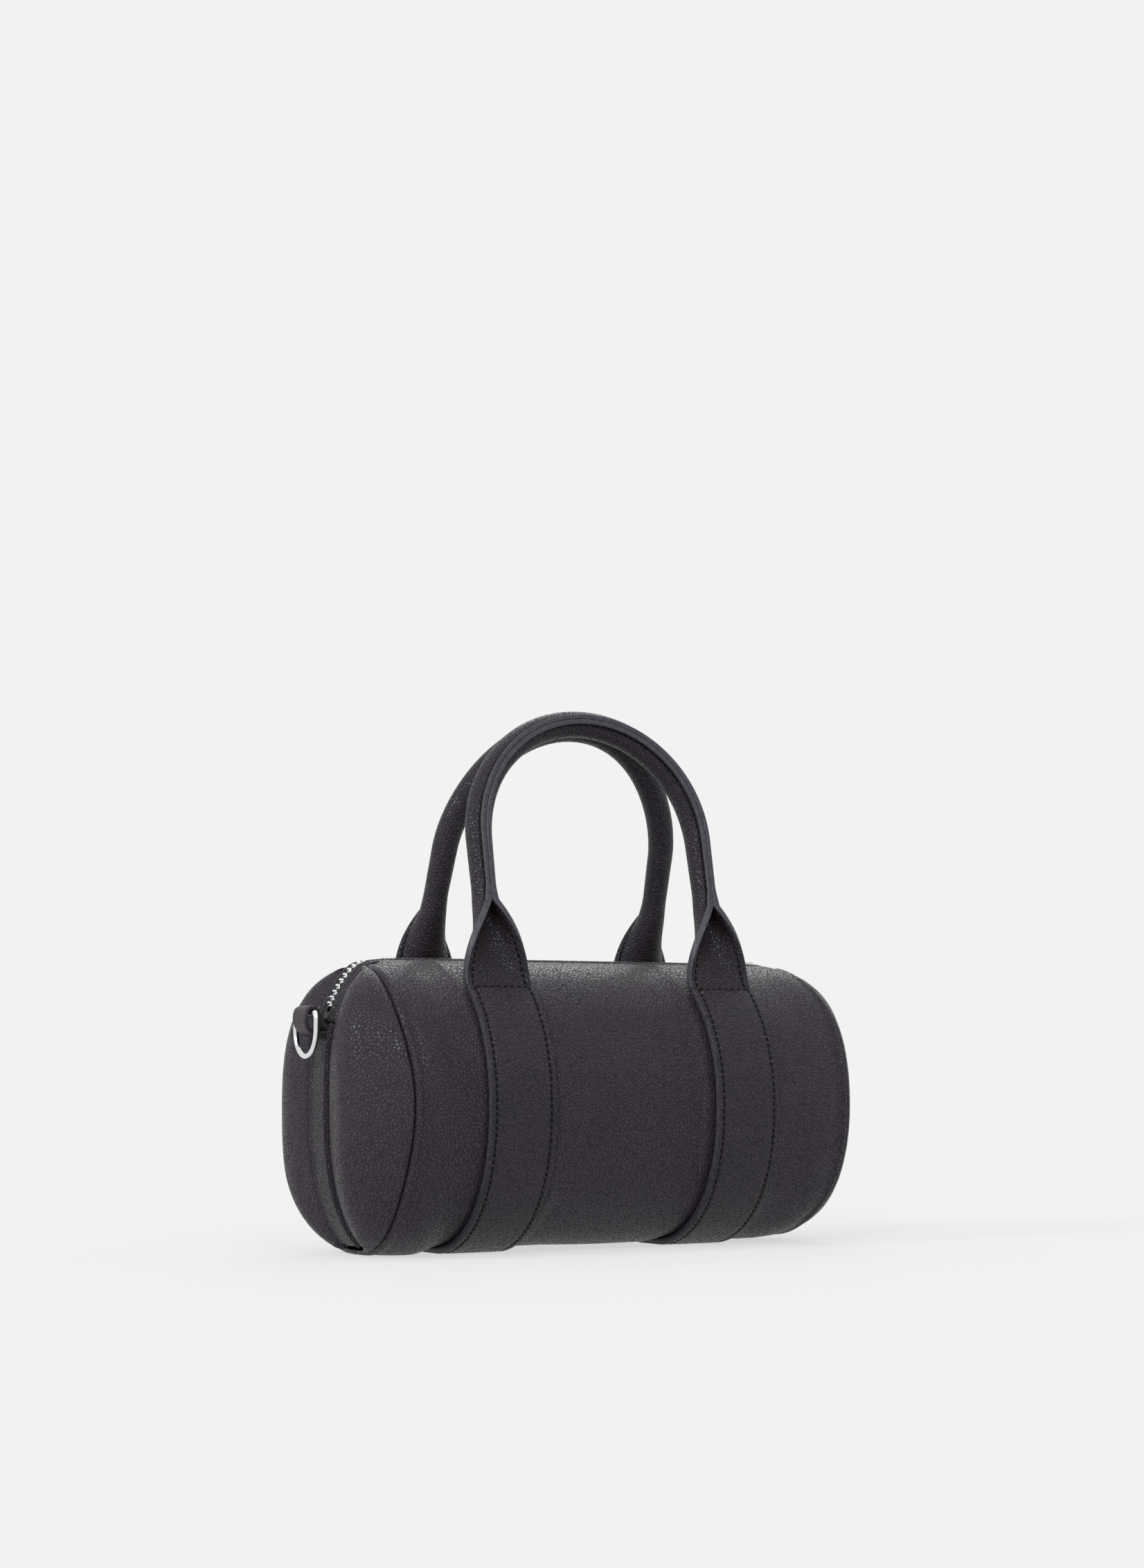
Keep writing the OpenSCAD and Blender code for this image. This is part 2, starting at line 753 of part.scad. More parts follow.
module rear_handle_cord() {
    mirror([0, 1, 0]) handle_cord(rear_sway);
}

// Lining and base board

pouch_steps = 40;
pouch_shares = [0.06, 0.3, 0.55, 0.78, 0.93, 1];

// Closed pouch that follows the inside of the body, off below its surface
module pouch(off) {
    last = len(pouch_shares) - 1;
    rings = [for (side = [-1, 1], i = [0 : last])
        let (s = pouch_shares[side < 0 ? i : last - i],
             x = side * (turn_x + (turn_reach - off) * sqrt(1 - s * s)))
        [for (j = [0 : pouch_steps - 1])
            let (p = section(360 * j / pouch_steps, -off))
            [x, p[0] * s, mid_z + p[1] * s]]];
    sweep(rings);
}

module lining() {
    off = leather + lining_gap;
    slot = strip_width + 2 * seam_gap;
    color("#57535a") difference() {
        pouch(off);
        pouch(off + lining_thickness);
        translate([-seam_span, -slot / 2, mid_z + root_height])
            cube([2 * seam_span, slot, body_height]);
    }
}

module base_board() {
    inside = leather + 2 * lining_gap + lining_thickness;
    hy = half_d - inside;
    hz = half_h - inside;
    low = mid_z - hz * pow(1 - pow(board_width / 2 / hy, lower_fullness), 1 / lower_fullness);
    flat = [board_length - 2 * board_corner, board_width - 2 * board_corner];
    color("#6f6a66") translate([0, 0, low]) linear_extrude(board_thickness) {
        square([board_length, flat[1]], center = true);
        square([flat[0], board_width], center = true);
        for (x = [-1, 1], y = [-1, 1])
            translate([x * flat[0] / 2, y * flat[1] / 2]) circle(r = board_corner, $fn = 2 * fine);
    }
}

front_panel();
back_panel();
left_front_end_panel();
left_rear_end_panel();
right_front_end_panel();
right_rear_end_panel();
left_end_strip();
right_end_strip();
front_zip_binding();
rear_zip_binding();
front_zip_tape();
rear_zip_tape();
front_zip_teeth();
rear_zip_teeth();
left_zip_stop();
right_zip_stop();
left_ring_tab();
right_ring_tab();
left_strap();
right_strap();
lining();
base_board();
front_handle();
rear_handle();
front_handle_cord();
rear_handle_cord();
zip_slider();
zip_pull();
left_ring();
right_ring();
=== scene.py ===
"""Looks of the barrel handbag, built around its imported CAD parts. Lengths are in millimetres
until a mesh is made, and every surface is a numpy formula in the CAD model's own frame."""

import math

import bpy
import numpy as np
from mathutils import Matrix


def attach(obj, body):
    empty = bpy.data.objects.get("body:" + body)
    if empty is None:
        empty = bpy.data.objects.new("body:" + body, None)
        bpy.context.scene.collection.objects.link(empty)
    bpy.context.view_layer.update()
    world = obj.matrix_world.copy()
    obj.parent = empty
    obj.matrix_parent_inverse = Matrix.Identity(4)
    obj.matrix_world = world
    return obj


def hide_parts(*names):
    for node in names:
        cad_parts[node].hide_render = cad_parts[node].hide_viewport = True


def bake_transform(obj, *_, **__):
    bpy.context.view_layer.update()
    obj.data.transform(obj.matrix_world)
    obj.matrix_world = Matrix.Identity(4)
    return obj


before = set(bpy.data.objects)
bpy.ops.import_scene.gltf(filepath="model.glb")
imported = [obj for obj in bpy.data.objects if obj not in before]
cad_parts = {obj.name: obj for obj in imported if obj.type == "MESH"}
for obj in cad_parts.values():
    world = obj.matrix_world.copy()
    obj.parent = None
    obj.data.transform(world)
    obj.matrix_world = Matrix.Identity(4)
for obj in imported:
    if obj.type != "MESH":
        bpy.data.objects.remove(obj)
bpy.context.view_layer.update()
METRE = 1000

# Sizes that the CAD model has
HALF_H, HALF_D = 66.0, 61.5
SEAM_SPAN, SEAM_DIP = 226.0, 2.4
SHOULDER_DROP, SHOULDER_IN, SHOULDER_LENGTH = 2.4, 1.5, 12.0
SEAM_HALF_H, SEAM_HALF_D = HALF_H - SHOULDER_DROP, HALF_D - SHOULDER_IN
END_TURN, END_BULGE, END_PUFF, PUFF_SKEW, WALL_TURN = 12.0, 19.0, 8.6, 1.25, 3
LOWER_FULLNESS = 2.2
LEATHER, SEAM_GAP = 1.8, 0.15
LINING_GAP, LINING_THICKNESS = 0.6, 0.8
STRAP_WIDTH, STRAP_THICKNESS, STRAP_SPREAD, STRAP_GAP = 33.4, 3.6, 118.8, 0.3
HINGE_ANGLE, REST_FLAT = 49.5, 0.7
MID_Z = HALF_H + STRAP_GAP + STRAP_THICKNESS - REST_FLAT
TURN_X, TURN_REACH = SEAM_SPAN / 2 - END_TURN, END_TURN + END_BULGE
STRIP_HALF, ZIP_HALF, ZIP_DEPTH = 10.65, 7.5, 2.2
STRIP_FOOT, STRIP_TOP = -65.5, math.degrees(math.asin(37 / 66))
BINDING_LOW = STRIP_TOP + math.degrees(math.asin(4 * SEAM_GAP / HALF_H))
LEAF_SHARE = 0.976
TAPE, TOOTH_PITCH, TOOTH_THICKNESS, TOOTH_REACH, TOOTH_HEIGHT = 0.6, 2.6, 1.2, 3.0, 2.5
JAW_DEPTH, SLIDER_GAP = 1.0, 0.3
CHAIN_H, CHAIN_R, CHAIN_LOW = HALF_H - ZIP_DEPTH, TURN_REACH - ZIP_DEPTH, BINDING_LOW + 2
HANDLE_SPREAD, HANDLE_RISE, HANDLE_APART = 119.6, 131.5, 14.8
HANDLE_BOW, BOW_HEIGHT, REAR_SWAY = 3.8, 22.0, 7.0
HANDLE_R, HANDLE_WALL, FOLD_END, THIN_SHARE = 5.8, 2.2, 39.5, 0.75
RING_X, RING_Z = TURN_X + TURN_REACH + 5.4, MID_Z + 40.5
RING_WIRE, RING_HALF, RING_DROP, RING_CORNER = 1.3, 11.7, 19.4, 3.0
TAB_WIDTH, TAB_LEATHER, RING_GAP = 15.0, 2.0, 0.3

# Sizes that only the looks have

# A pair that ramp takes is the place where a smooth step starts, and its run. A triple that hump
# takes is a height, a place and a width.
EDGE_ROUND = 1.1
EDGE_BLUNT, EDGE_FULL = 0.55, 0.75
STITCH_PITCH, STITCH_LENGTH, STITCH_R = 3.1, 2.2, 0.48
STITCH_LEAN, THREAD_SINK = 0.12, 0.3
STITCH_INSET, FLANGE_INSET, PAINTED_SPANS, CROSS_ANGLE = 2.9, 1.9, 9, 1.15
LEFT_SAG, RIGHT_SAG, SQUARE_END, FLAT_END, BELLY = 2.34, 1.41, 1.79, 0.3, 1.76
SAG_FROM, SAG_RUN, SAG_MOST = 78, 54, 1.15
SQUARE_TOP, SQUARE_LOW_LEFT, SQUARE_LOW_RIGHT = 1.6, 1.0, 0.4
RIGHT_SEAM, LOW_LEFT, LOW_RIGHT, GROUND = 8.5, 3.4, 1.2, 0.05
END_ZONE, STRAP_ZONE, FOOT_ZONE = (88, 20), (1, 9), (0.75, 0.25)
CORNER_START, CORNER_END, CORNER_DEPTH = (80, 16), (112, 22), (0.35, 0.5)
PUSH_START, PUSH_END, PUSH_SIDE = (80, 30), (109, 22), (20, 30)
TURN_PLACE, TURN_WIDTH, PANEL_DIP, PANEL_DIP_REACH = 0.5, 5.5, -1.2, 18
BAND_LIFT, BAND_REACH, CHAIN_LIFT, BINDING_HALF = 1.5, 1, 1.3, 4.9
LIFT_ZONE = (102.5, 7)


# Small helpers

def sin(degrees):
    return np.sin(np.radians(degrees))


def cos(degrees):
    return np.cos(np.radians(degrees))


def mix(a, b, share):
    return a + (b - a) * share


def ease(t):
    """Smooth step: 3 t squared less 2 t cubed, held at 0 and 1 outside that range."""
    t = np.clip(t, 0, 1)
    return t * t * (3 - 2 * t)


def ramp(value, start, run):
    return ease((value - start) / run)


def hump(d, high, at, width):
    """Bell curve: high times e to the minus square of the distance from its middle over its
    width."""
    return high * np.exp(-((d - at) / width) ** 2)


def rolled(d, r=EDGE_ROUND):
    """Drop of a rounded edge at distance d from the edge: a quarter circle of radius r."""
    t = np.clip(1 - d / r, 0, 1)
    return r * (1 - np.sqrt(1 - t * t))


def signed_power(value, exponent):
    return np.sign(value) * np.abs(value) ** exponent


def stack(*parts):
    return np.stack(np.broadcast_arrays(*parts), -1).astype(float)


def unit(v):
    return v / np.maximum(np.linalg.norm(v, axis=-1, keepdims=True), 1e-9)


def crowded(n, low, high, crowd=0.6):
    """n + 1 shares from low to high, closer together near both ends: a straight count mixed
    with half a cosine wave."""
    t = np.linspace(0, 1, n + 1)
    return mix(low, high, mix(t, (1 - np.cos(np.pi * t)) / 2, crowd))


# Body surfaces, by the CAD model's formulas

def power(s):
    return np.where(s < 0, LOWER_FULLNESS, 2.0)


def swell(c, s):
    return signed_power(c, 2 / power(s))


def section(a, off):
    """Superellipse section of the body at angle a, pushed out by off: y and z from mid height."""
    c, s = cos(a), sin(a)
    return -(HALF_D + off) * swell(c, s), (HALF_H + off) * swell(s, s)


def seam_x(z):
    return SEAM_SPAN / 2 - SEAM_DIP * (1 - (z / SEAM_HALF_H) ** 2)


def seam_y(z):
    """Half depth of an end seam at height z from the middle: a superellipse."""
    n = power(z)
    return SEAM_HALF_D * (1 - np.abs(z / SEAM_HALF_H) ** n) ** (1 / n)


def shoulder(x):
    """Rounding towards a seam: 1 less the square root of 1 less t squared, t growing to 1."""
    t = np.clip((np.abs(x) - (SEAM_SPAN / 2 - SHOULDER_LENGTH)) / SHOULDER_LENGTH, 0, 1)
    return 1 - np.sqrt(1 - t * t)


def end_x(y, z):
    """The ellipsoid that the end strips lie on: x at (y, z)."""
    return TURN_X + TURN_REACH * np.sqrt(np.maximum(0, 1 - (y / HALF_D) ** 2 - (z / HALF_H) ** 2))


def sagged(p):
    """The filled bag's soft shape. Beyond the straps the ends drop by the square of how far out
    they lie. Round the ends, with h the height from -1 to 1 and c the square root of 1 less h
    squared, the surface swells by 4 SQUARE_END h^2 c^2, which squares the corners, and flattens
    by FLAT_END c^4. SQUARE_END counts 1.6 times above mid height, and below it 1.0 times on the
    left and 0.4 times on the right. The bottom hangs by BELLY wherever no strap carries it and by
    LOW_LEFT or LOW_RIGHT at its corners, but stays above the ground: half the sum of z and the
    root of z squared plus 1. The right end's seams are pushed out by RIGHT_SEAM at mid height."""
    x, z = p[..., 0], p[..., 2]
    past = np.abs(x)
    drop = (np.where(x < 0, LEFT_SAG, RIGHT_SAG)
            * np.clip((past - SAG_FROM) / SAG_RUN, 0, SAG_MOST) ** 2)
    height = np.clip((z - MID_Z) / HALF_H, -1, 1)
    level = np.sqrt(1 - height ** 2)
    square_low = np.where(x < 0, SQUARE_LOW_LEFT, SQUARE_LOW_RIGHT)
    square = SQUARE_END * np.where(height > 0, SQUARE_TOP, square_low)
    grown = 4 * square * (height * level) ** 2 - FLAT_END * level ** 4
    near_end = ramp(past, *END_ZONE)
    past_strap = np.abs(past - STRAP_SPREAD / 2) - STRAP_WIDTH / 2
    hang = BELLY * ramp(-height, *FOOT_ZONE) * (1 - near_end) * ramp(past_strap, *STRAP_ZONE)
    corner = (np.where(x < 0, LOW_LEFT, LOW_RIGHT) * ramp(past, *CORNER_START)
              * ramp(-height, *CORNER_DEPTH) * (1 - ramp(past, *CORNER_END)))
    side = ramp(np.abs(p[..., 1]), *PUSH_SIDE) * level ** 2
    pushed = (RIGHT_SEAM * (x > 0) * side * ramp(past, *PUSH_START)
              * (1 - ramp(past, *PUSH_END)))
    q = p.copy()
    q[..., 0] += np.sign(x) * grown * level * near_end + pushed
    low = z + grown * height * near_end - drop - hang - corner - GROUND
    q[..., 2] = GROUND + (low + np.sqrt(low ** 2 + 1)) / 2
    return q


def cornered(p, lift, reach):
    """The sagged shape, where the top line turns down the left end with a tighter corner than an
    ellipse has: points beside its seams move by lift, fading with their distance from the zip
    over reach."""
    beside = hump(p[..., 0], 1, TURN_PLACE - SEAM_SPAN / 2, TURN_WIDTH) * (p[..., 2] > MID_Z)
    near_zip = ease(1 - np.maximum(0, np.abs(p[..., 1]) - STRIP_HALF) / reach)
    q = sagged(p)
    q[..., 2] += lift * beside * near_zip
    return q


def slow_waves(length, share, phase, waves):
    """Sum of sines. Each row of waves holds a height, the length over which its angle grows by a
    radian, the radians that the whole share adds, and how many times the phase is added."""
    return sum(high * np.sin(length / run + turn * share + times * phase)
               for high, run, turn, times in waves)


# Meshes from grids of points

def grid_faces(rows, cols, close=False, start=0, flip=False):
    """Quads of a grid with rows times cols points, joined round in its columns if close."""
    i = np.arange(rows - 1)[:, None]
    j = np.arange(cols if close else cols - 1)[None, :]
    k = (j + 1) % cols
    quads = np.stack(np.broadcast_arrays(i * cols + j, i * cols + k,
                                         (i + 1) * cols + k, (i + 1) * cols + j), -1)
    quads = quads.reshape(-1, 4) + start
    return quads[:, ::-1] if flip else quads


def rim_faces(rows, cols):
    """Quads that join the borders of two grids of the same size, the second after the first."""
    n = rows * cols
    loop = np.concatenate([np.arange(cols), np.arange(2, rows + 1) * cols - 1,
                           n - 2 - np.arange(cols - 1), np.arange(rows - 2, 0, -1) * cols])
    k = np.roll(loop, -1)
    return np.stack([k, loop, loop + n, k + n], -1)


def mesh_object(name, points, faces, materials, face_slots=None, flip=False):
    """Mesh object from points in millimetres, with smooth shading."""
    points = np.asarray(points, float).reshape(-1, 3) / METRE
    if isinstance(faces, np.ndarray):
        faces = (faces[:, ::-1] if flip else faces).tolist()
    elif flip:
        faces = [f[::-1] for f in faces]
    mesh = bpy.data.meshes.new(name)
    mesh.from_pydata(points.tolist(), [], faces)
    for m in materials:
        mesh.materials.append(m)
    if face_slots is not None:
        mesh.polygons.foreach_set("material_index", np.asarray(face_slots, np.int32))
    mesh.polygons.foreach_set("use_smooth", np.ones(len(mesh.polygons), bool))
    mesh.update()
    obj = bpy.data.objects.new(name, mesh)
    bpy.context.scene.collection.objects.link(obj)
    return obj


def sheet_mesh(name, outer, inner, materials, flip=False):
    """Closed sheet between two grids of points, with a rim round its four borders."""
    rows, cols = outer.shape[:2]
    faces = np.concatenate([grid_faces(rows, cols),
                            grid_faces(rows, cols, start=rows * cols, flip=True),
                            rim_faces(rows, cols)])
    points = np.concatenate([outer.reshape(-1, 3), inner.reshape(-1, 3)])
    return mesh_object(name, points, faces, materials, flip=flip)


def tube_mesh(name, rings, materials, closed=False, band_slots=None, flip=False):
    """Solid swept through rings of points. An open one gets a flat face at each end."""
    rows, cols = rings.shape[:2]
    if closed:
        rings = np.concatenate([rings, rings[:1]])
    faces = grid_faces(rings.shape[0], cols, close=True)
    if closed:
        faces = faces % (rows * cols)
        rings = rings[:-1]
    slots = None if band_slots is None else np.tile(band_slots, len(faces) // cols)
    faces = faces.tolist()
    if not closed:
        faces += [list(range(cols))[::-1], list(range((rows - 1) * cols, rows * cols))]
        if slots is not None:
            slots = np.concatenate([slots, [slots[0], slots[0]]])
    return mesh_object(name, rings, faces, materials, slots, flip)


def copies_mesh(name, shape, faces, places, axes, materials):
    """One mesh of many copies of a small shape. axes holds, for each copy, the three directions
    that the shape's own x, y and z take."""
    points = np.einsum("vk,nkc->nvc", shape, axes) + places[:, None, :]
    every = faces[None] + (np.arange(len(places)) * len(shape))[:, None, None]
    return mesh_object(name, points, every.reshape(-1, faces.shape[1]), materials)


def mirrored(p, axis):
    q = p.copy()
    q[..., axis] *= -1
    return q


def sided(outer, inner, right=False, rear=False):
    """Two grids made for the left end or the front, moved to the right end or the rear."""
    for axis, wanted in enumerate((right, rear)):
        if wanted:
            outer, inner = mirrored(outer, axis), mirrored(inner, axis)
    return outer, inner


def dress(obj, body, slot, *nodes):
    """The piece rides on a body and stands for CAD nodes, which it hides. The slot is not used.
    """
    if body is not None:
        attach(obj, body)
    if nodes:
        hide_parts(*nodes)
    return obj


# Materials

def linear(code):
    """Linear colour of an sRGB hex code."""
    c = np.array([int(code[i:i + 2], 16) for i in (1, 3, 5)]) / 255
    return (*np.where(c <= 0.04045, c / 12.92, ((c + 0.055) / 1.055) ** 2.4), 1.0)


def add(tree, kind, inputs=None, out=0, **settings):
    """Adds a node with its settings and returns its output out. A socket given as an input is
    linked, and a value is set."""
    made = tree.nodes.new("ShaderNode" + kind)
    for key, value in settings.items():
        setattr(made, key, value)
    for key, value in (inputs or {}).items():
        if isinstance(value, bpy.types.NodeSocket):
            tree.links.new(value, made.inputs[key])
        else:
            made.inputs[key].default_value = value
    return made.outputs[out] if made.outputs else None


def start_material(name):
    """Returns a new material, its empty node tree and the Object coordinates of its patterns."""
    m = bpy.data.materials.new(name)
    m.use_nodes = True
    m.node_tree.nodes.clear()
    return m, m.node_tree, add(m.node_tree, "TexCoord", out="Object")


def surfaced(m, height, strength, depth, settings):
    """Gives a material its surface, with a bump that is depth millimetres high."""
    bump = add(m.node_tree, "Bump",
               {"Height": height, "Strength": strength, "Distance": depth / METRE})
    skin = add(m.node_tree, "BsdfPrincipled", dict(settings, Normal=bump))
    add(m.node_tree, "OutputMaterial", {"Surface": skin})
    return m


def pebbled_leather(name, top, groove, cell, depth, gloss, groove_rough):
    """Milled cow leather with a plate-embossed pebble grain: rounded pebbles that catch the
    light, fine valleys between them that are painted darker as shade, and a satin pigment
    finish. Pebbles are cell wide and depth high, wander from their even places, and carry pores
    of 0.35 mm. The pigment is mottled at 28 mm. The bluish tint of the reflection is painted
    light: it stands for cool light."""
    m, tree, coords = start_material(name)
    drift = add(tree, "TexNoise", {"Vector": coords, "Scale": METRE / (2.2 * cell),
                                   "Detail": 1.0}, "Color")
    offset = add(tree, "VectorMath", {0: drift, 1: (0.5, 0.5, 0.5)}, operation="SUBTRACT")
    moved = add(tree, "VectorMath", {0: offset, 1: (0.9 * cell / METRE,) * 3, 2: coords},
                operation="MULTIPLY_ADD")
    cells = add(tree, "TexVoronoi", {"Vector": moved, "Scale": METRE / cell, "Randomness": 0.9},
                "Distance", feature="DISTANCE_TO_EDGE")
    pebble = add(tree, "MapRange", {"Value": cells, "From Max": 0.23},
                 interpolation_type="SMOOTHSTEP")
    pores = add(tree, "TexNoise", {"Vector": coords, "Scale": METRE / 0.35, "Detail": 2.0})
    height = add(tree, "Math", {0: pores, 1: 0.06, 2: pebble}, operation="MULTIPLY_ADD")
    patches = add(tree, "TexNoise", {"Vector": coords, "Scale": METRE / 28, "Detail": 2.0})
    cloudy = add(tree, "MapRange", {"Value": patches, "From Min": 0.3, "From Max": 0.7,
                                    "To Min": 0.88, "To Max": 1.12})
    # Pebble tops take the top colour and the valleys the groove colour, which is painted shade.
    colour = add(tree, "Mix", {0: pebble, 6: linear(groove), 7: linear(top)}, 2,
                 data_type="RGBA")
    shade = add(tree, "VectorMath", {0: colour, "Scale": cloudy}, operation="SCALE")
    rough = add(tree, "MapRange", {"Value": pebble, "To Min": groove_rough, "To Max": gloss},
                interpolation_type="SMOOTHSTEP")
    # The bluish Specular Tint is painted light: it colours every reflection as a cool light
    # would.
    return surfaced(m, height, 1.0, depth,
                    {"Base Color": shade, "Roughness": rough, "IOR": 1.5,
                     "Specular IOR Level": 0.35, "Specular Tint": linear("#e5f1ff")})


def painted_edge(name, colour, dark):
    """Acrylic edge paint on cut leather: several brushed coats, satin, with faint long ripples
    1.6 mm apart."""
    m, tree, coords = start_material(name)
    ripple = add(tree, "TexNoise", {"Vector": coords, "Scale": METRE / 1.6, "Detail": 2.0})
    share = add(tree, "MapRange", {"Value": ripple, "From Min": 0.35, "From Max": 0.65},
                interpolation_type="SMOOTHSTEP")
    tint = add(tree, "Mix", {0: share, 6: linear(dark), 7: linear(colour)}, 2, data_type="RGBA")
    return surfaced(m, ripple, 0.5, 0.12, {"Base Color": tint, "Roughness": 0.38, "IOR": 1.49,
                                           "Specular IOR Level": 0.3})


def spun_thread(name, colour):
    """Bonded polyester thread, drawn thicker than the real 0.5 mm so that it shows: plies twisted
    at 0.45 mm, dull."""
    m, tree, coords = start_material(name)
    ply = add(tree, "TexWave", {"Vector": coords, "Scale": METRE / 0.45, "Distortion": 1.0},
              "Fac", bands_direction="DIAGONAL")
    return surfaced(m, ply, 0.5, 0.08, {"Base Color": linear(colour), "Roughness": 0.75,
                                        "IOR": 1.5, "Specular IOR Level": 0.15})


def woven_cloth(name, warp, weft, pitch, rough, sheen):
    """Woven filament yarn, dull, with a faint sheen and a fuzz of 0.5 mm. Two crossed waves at
    the yarn's pitch make the over-and-under of warp and weft."""
    m, tree, coords = start_material(name)
    along, across = (add(tree, "TexWave", {"Vector": coords, "Distortion": 0.4,
                                           "Scale": METRE / 2 / pitch / math.pi},
                         "Fac", bands_direction=way) for way in "XY")
    cross = add(tree, "Math", {0: along, 1: across}, operation="MULTIPLY")
    fuzz = add(tree, "TexNoise", {"Vector": coords, "Scale": METRE / 0.5})
    height = add(tree, "Math", {0: cross, 1: fuzz}, operation="ADD")
    colour = add(tree, "Mix", {0: cross, 6: linear(weft), 7: linear(warp)}, 2, data_type="RGBA")
    return surfaced(m, height, 0.7, 0.12, {"Base Color": colour, "Roughness": rough,
                                           "IOR": 1.5, "Sheen Weight": sheen})


def plated_metal(name, colour, rough, scuff):
    """Plated, tumble-polished zinc or brass, or a near-black copy whose dark colour is painted
    shade:
    smooth, with hairline scuffs 0.8 mm apart that only widen its highlights."""
    m, tree, coords = start_material(name)
    hair = add(tree, "TexNoise", {"Vector": coords, "Scale": METRE / 0.8, "Detail": 3.0})
    worn = add(tree, "MapRange", {"Value": hair, "From Min": 0.3, "From Max": 0.7,
                                  "To Min": rough, "To Max": rough + 0.1},
               interpolation_type="SMOOTHSTEP")
    return surfaced(m, hair, scuff, 0.04, {"Base Color": linear(colour), "Metallic": 1.0,
                                           "Roughness": worn})


def pressed_board(name, light, dark):
    """Grey fibreboard: pressed paper fibres, matt, mottled at about 2 mm."""
    m, tree, coords = start_material(name)
    fibre = add(tree, "TexNoise", {"Vector": coords, "Scale": METRE / 2, "Detail": 5.0})
    tint = add(tree, "Mix", {0: fibre, 6: linear(dark), 7: linear(light)}, 2, data_type="RGBA")
    return surfaced(m, fibre, 0.4, 0.2, {"Base Color": tint, "Roughness": 0.85, "IOR": 1.5})


# The second colour of each leather is its grooves' colour, painted darker as shade.
body_leather = pebbled_leather("pebbled_cow_leather", "#372c33", "#181114",
                               1.6, 0.25, 0.31, 0.6)
trim_leather = pebbled_leather("pebbled_trim_leather", "#34292f", "#161012",
                               1.55, 0.25, 0.31, 0.6)
smooth_leather = pebbled_leather("smooth_tab_leather", "#3b3238", "#292226",
                                 0.9, 0.08, 0.45, 0.55)
edge_paint = painted_edge("acrylic_edge_paint", "#494751", "#3b3840")
thread = spun_thread("bonded_polyester_thread", "#0a090b")
tape_weave = woven_cloth("polyester_zip_tape", "#1b1a1c", "#0c0b0d", 0.5, 0.8, 0.1)
lining_weave = woven_cloth("polyester_lining_twill", "#55505a", "#454049", 0.6, 0.7, 0.2)
cord_weave = woven_cloth("laid_cotton_cord", "#a89f90", "#8f8778", 0.8, 0.9, 0.1)
zip_nickel = plated_metal("nickel_plated_brass_zip", "#d9d9dc", 0.2, 0.4)
# The zip stops are near black as painted shade: they sit in the shadow under the ring tabs.
shaded_stop_metal = plated_metal("stop_metal_darkened_as_shade", "#2b2b2e", 0.35, 0.3)
ring_nickel = plated_metal("nickel_plated_zinc_ring", "#e4e4e6", 0.1, 0.15)
fibreboard = pressed_board("grey_fibreboard", "#7c766e", "#635e57")


# Body panels

PANEL_STEPS, PANEL_RUN, SEAM_ROLL = (200, 130), 178, 1.5
SEAM_RIDGE, SEAM_VALLEY, SEAM_PAD = (0.55, 1.9, 1.0), (-0.5, 4.8, 2.4), (0.3, 13, 6)
STRAP_SWELL, WAVE_HEIGHT, WAVE_FADE, WAVE_ZONE = (0.5, 3.4, 2.4), 0.22, 14, (1, 8)
PANEL_WAVES = ((1, 17, 3.1, 1), (1, 29, -6.3, 2), (0.6, 11, 9, 3))
FRONT_PHASE, BACK_PHASE = 0.4, 1.7


def panel_surface(u, v, off):
    """Front panel by the CAD formula, off below the surface: a superellipse from the seam under
    the bag at v = 0 to the zip at v = 1, which shrinks by the shoulder towards the end seams. x
    is the share u of the seam's own x."""
    g = shoulder(u * SEAM_SPAN / 2)
    hy = HALF_D - SHOULDER_IN * g - off
    hz = HALF_H - SHOULDER_DROP * g - off
    top = np.degrees(np.arccos((STRIP_HALF + SEAM_GAP) / hy))
    low = -np.degrees(np.arccos((SEAM_GAP / 2 / hy) ** (LOWER_FULLNESS / 2)))
    a = mix(low, top, v)
    s = sin(a)
    zs = swell(s, s)
    return stack(u * seam_x(zs * SEAM_HALF_H), -hy * swell(cos(a), s), MID_Z + hz * zs)


def panel_relief(u, v, phase):
    """Height added to a body panel: its four edges roll in, a ridge of turned leather runs beside
    each end seam with a shallow valley after it, the leather swells a little beside the straps,
    and slow waves of under half a millimetre keep it from looking machined."""
    x = u * SEAM_SPAN / 2
    to_seam = SEAM_SPAN / 2 * (1 - np.abs(u))
    to_zip, to_foot = PANEL_RUN * (1 - v), PANEL_RUN * v
    ridge = hump(to_seam, *SEAM_RIDGE) + hump(to_seam, *SEAM_VALLEY) + hump(to_seam, *SEAM_PAD)
    past_strap = np.abs(np.abs(x) - STRAP_SPREAD / 2) - STRAP_WIDTH / 2
    free = ramp(past_strap, *WAVE_ZONE) * ease(to_seam / WAVE_FADE) * ease(to_zip / WAVE_FADE)
    waves = slow_waves(x, v, phase, PANEL_WAVES)
    return (ridge + hump(past_strap, *STRAP_SWELL) + WAVE_HEIGHT * waves * free
            - rolled(to_seam, SEAM_ROLL) - rolled(to_zip) - rolled(to_foot))


def body_panel(name, back):
    u = crowded(PANEL_STEPS[0], -1, 1, 0.75)[:, None]
    v = crowded(PANEL_STEPS[1], 0, 1, 0.35)[None, :]
    relief = panel_relief(u, v, BACK_PHASE if back else FRONT_PHASE)
    outer, inner = (cornered(panel_surface(u, v, off), PANEL_DIP, PANEL_DIP_REACH)
                    for off in (-relief, LEATHER))
    outer, inner = sided(outer, inner, rear=back)
    obj = sheet_mesh(name + "_leather", outer, inner, [body_leather], flip=back)
    return dress(obj, "bag", "body_leather", name)


# End panels

